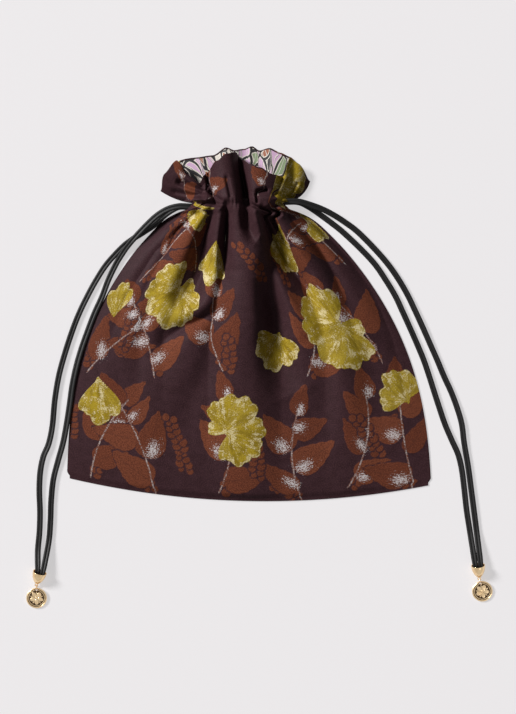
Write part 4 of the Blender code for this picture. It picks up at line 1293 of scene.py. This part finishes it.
def charm_face(radius, angle):
    """Height of the face in mm over its field: a rim, a ring of beads and a five-petalled flower."""
    rim = 0.34 * ease((radius - 6.62) / 0.25) * (1 - ease((radius - 7.35) / 0.35) * 0.9)
    beads = 0.20 * dome((radius - 5.95) / 0.42, 1) * (0.35 + 0.65 * np.cos(18 * angle) ** 2)
    sector = 2 * math.pi / PETALS
    near = (angle + sector / 2) % sector - sector / 2
    px, py = radius * np.cos(near), radius * np.sin(near)
    petal = np.maximum(0, 1 - ((px - 2.95) / 2.15) ** 2 - (py / 1.55) ** 2) ** 0.5
    groove = 0.10 * fade_out(py, 0.16) * (px > 1.0) * (px < 4.3)
    heart = 0.32 * dome(radius / 1.0, 0.5)
    far = (angle + sector) % sector - sector / 2
    px, py = radius * np.cos(far), radius * np.sin(far)
    sepal = 0.16 * np.maximum(0, 1 - ((px - 3.9) / 1.2) ** 2 - (py / 0.5) ** 2) ** 0.5
    return np.maximum.reduce([rim, beads, 0.30 * petal - groove * (petal > 0), heart, sepal])


def charm_mesh():
    """A struck disc: a polar grid for its face, edge and back."""
    turns, face_rows = 120, 60
    half = CHARM_THICK / 2
    back = ((CHARM_RADIUS * 1.002, 0.0), (CHARM_RADIUS * 0.985, -half + 0.00012), (0.0, -half))
    radii = np.linspace(0, CHARM_RADIUS, face_rows)
    rows = face_rows + len(back)
    bm = grid(turns, rows - 1)
    for vert in bm.verts:
        angle = (vert.co.x + 1) * math.pi
        row = step_of(vert.co.y, rows)
        if row < face_rows:
            radius = radii[row]
            z = min(half, half - FIELD_DEPTH + float(charm_face(1000 * radius, angle)) * MM)
        else:
            radius, z = back[row - face_rows]
        vert.co = (CHARM_RADIUS - WIRE_RADIUS + radius * math.cos(angle), radius * math.sin(angle), z)
    bmesh.ops.remove_doubles(bm, verts=bm.verts[:], dist=1e-7)
    bmesh.ops.dissolve_degenerate(bm, edges=bm.edges[:], dist=1e-8)
    return recalculated(bm)


def mark_recesses(piece, matrix):
    """Keep how deep each point of the face lies, for the dark patina in the struck field."""
    back = matrix.inverted()
    field = CHARM_THICK / 2 - FIELD_DEPTH
    marks = piece.data.attributes.new("recess", "FLOAT", "POINT")
    for vert, mark in zip(piece.data.vertices, marks.data):
        spot = back @ vert.co
        inner = math.hypot(spot.x - CHARM_RADIUS + WIRE_RADIUS, spot.y) < 0.92 * CHARM_RADIUS
        deep = min(1, max(0, (field + 0.00014 - spot.z) / 0.00012)) if spot.z > field - 0.00004 else 0
        mark.value = deep if inner else 0.0


def cut_hole(piece, centre, radius, depth):
    """Drill a round hole and apply it."""
    drill = bmesh.new()
    bmesh.ops.create_cone(drill, cap_ends=True, segments=40, radius1=radius, radius2=radius, depth=depth)
    bmesh.ops.translate(drill, verts=drill.verts[:], vec=centre)
    cutter = new_piece("drill", drill, smooth=False)
    step = piece.modifiers.new("hole", "BOOLEAN")
    step.operation, step.solver, step.object = "DIFFERENCE", "EXACT", cutter
    graph = bpy.context.evaluated_depsgraph_get()
    mesh = bpy.data.meshes.new_from_object(piece.evaluated_get(graph))
    piece.modifiers.remove(step)
    old, piece.data = piece.data, mesh
    bpy.data.meshes.remove(old)
    bpy.data.objects.remove(cutter)


fittings = {}
for hand in BELLS:
    fittings[hand + "_bell"] = new_piece(hand + "_gold_bell", bell_mesh(hand))
    ring_frame, inset, charm_frame = hinge_frames(hand)
    ring = bmesh.new()
    upright = Matrix.Translation((inset, 0, 0)) @ Matrix.Rotation(math.pi / 2, 4, "X")
    add_ring(ring, RING_RADIUS, WIRE_RADIUS, ring_frame @ upright)
    fittings[hand + "_ring"] = new_piece(hand + "_gold_ring", recalculated(ring))
    charm = new_piece(hand + "_gold_charm", charm_mesh())
    cut_hole(charm, (EYE_RADIUS, 0, 0), EYE_RADIUS + WIRE_RADIUS / 2, 0.01)
    eye = bmesh.new()
    eye.from_mesh(charm.data)
    add_ring(eye, EYE_RADIUS, WIRE_RADIUS, Matrix.Translation((EYE_RADIUS, 0, 0)))
    bmesh.ops.transform(eye, matrix=charm_frame, verts=eye.verts[:])
    eye.to_mesh(charm.data)
    eye.free()
    mark_recesses(charm, charm_frame)
    charm.data.shade_smooth()
    charm.data.set_sharp_from_angle(angle=math.radians(48))
    fittings[hand + "_charm"] = charm
    print(hand, "charm spans", [round(1000 * d, 1) for d in charm.dimensions])

# %% [markdown]
# Each piece takes its material, rides on the body that it belongs to, and stands for its solid.

# %% Dress the frame
def wear(piece, finish, body, slot, node):
    piece.data.materials.clear()
    piece.data.materials.append(finish)
    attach(piece, body)
    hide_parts(node)


for piece, solid in ((front_cloth, "outer_front_panel"), (back_cloth, "outer_back_panel")):
    wear(piece, brocade_finish, "pouch", "brocade", solid)
for name, piece in linings.items():
    wear(piece, lining_finish, "pouch", "lining_print", "lining_" + hand_of(name) + "_panel")
for name, lace in laces.items():
    wear(lace, lace_finish, "pouch", "leather", hand_of(name) + "_drawcord")
for hand in BELLS:
    wear(fittings[hand + "_bell"], gold_finish, "pouch", "brass", hand + "_bell")
    wear(fittings[hand + "_ring"], gold_finish, hand + "_ring_body", "brass", hand + "_ring")
    wear(fittings[hand + "_charm"], struck_finish, hand + "_charm_body", "brass", hand + "_charm")
for name, line in lace_lines.items():
    ends = [fittings[hand_of(name) + part] for part in ("_bell", "_ring", "_charm")]

# %% [markdown]
# The table is a big pale sheet, and the light is a photographer's: one large soft lamp from the upper
# left, a weak one across from it, and a faint glow from all round. The table and the room round it look
# almost white to the camera and in reflections, and give the pouch no soft light of their own by that.

# %% Table and light
sheet = bmesh.new()
bmesh.ops.create_grid(sheet, x_segments=1, y_segments=1, size=2.5)
table_top = new_piece("table", sheet, smooth=False)
paper = Finish("table_paper")
seen = paper.ray("Is Camera Ray").at_least(paper.ray("Is Glossy Ray"))
glow = paper.layers((0, 0, 0), (seen, (0.56, 0.546, 0.552, 1)))
paper.finish_as(base_color=(146, 144, 145), roughness=0.9, specular_ior_level=0.1, emission_color=glow,
                emission_strength=1.0)
table_top.data.materials.append(paper.material)


def lamp(name, spot, aim, size, power):
    """A round lamp, with its size in metres and its power in watts."""
    data = bpy.data.lights.new(name, "AREA")
    data.shape, data.size, data.energy = "DISK", size, power
    made = bpy.data.objects.new(name, data)
    made.location = spot
    made.rotation_euler = (Vector(aim) - Vector(spot)).to_track_quat("-Z", "Y").to_euler()
    bpy.context.scene.collection.objects.link(made)


lamp("key", (-9.6, 5.6, 7.6), (0, 0, 0), 3.8, 2790)
lamp("fill", (1.2, -1.6, 1.9), (0.15, -0.15, 0), 1.2, 4)
world = bpy.data.worlds.new("studio")
bpy.context.scene.world = world
room = Nodes(world)
AMBIENT, SEEN_IN_METAL, SEEN_BY_CAMERA = 0.06, 0.55, 0.78
strength = room.ray("Is Glossy Ray") * SEEN_IN_METAL + AMBIENT + room.ray("Is Camera Ray") * SEEN_BY_CAMERA
background = room.tree.nodes["Background"]
room.put(background.inputs["Color"], (1, 1, 1, 1))
room.put(background.inputs["Strength"], strength)
bpy.context.scene.view_settings.view_transform = "Standard"
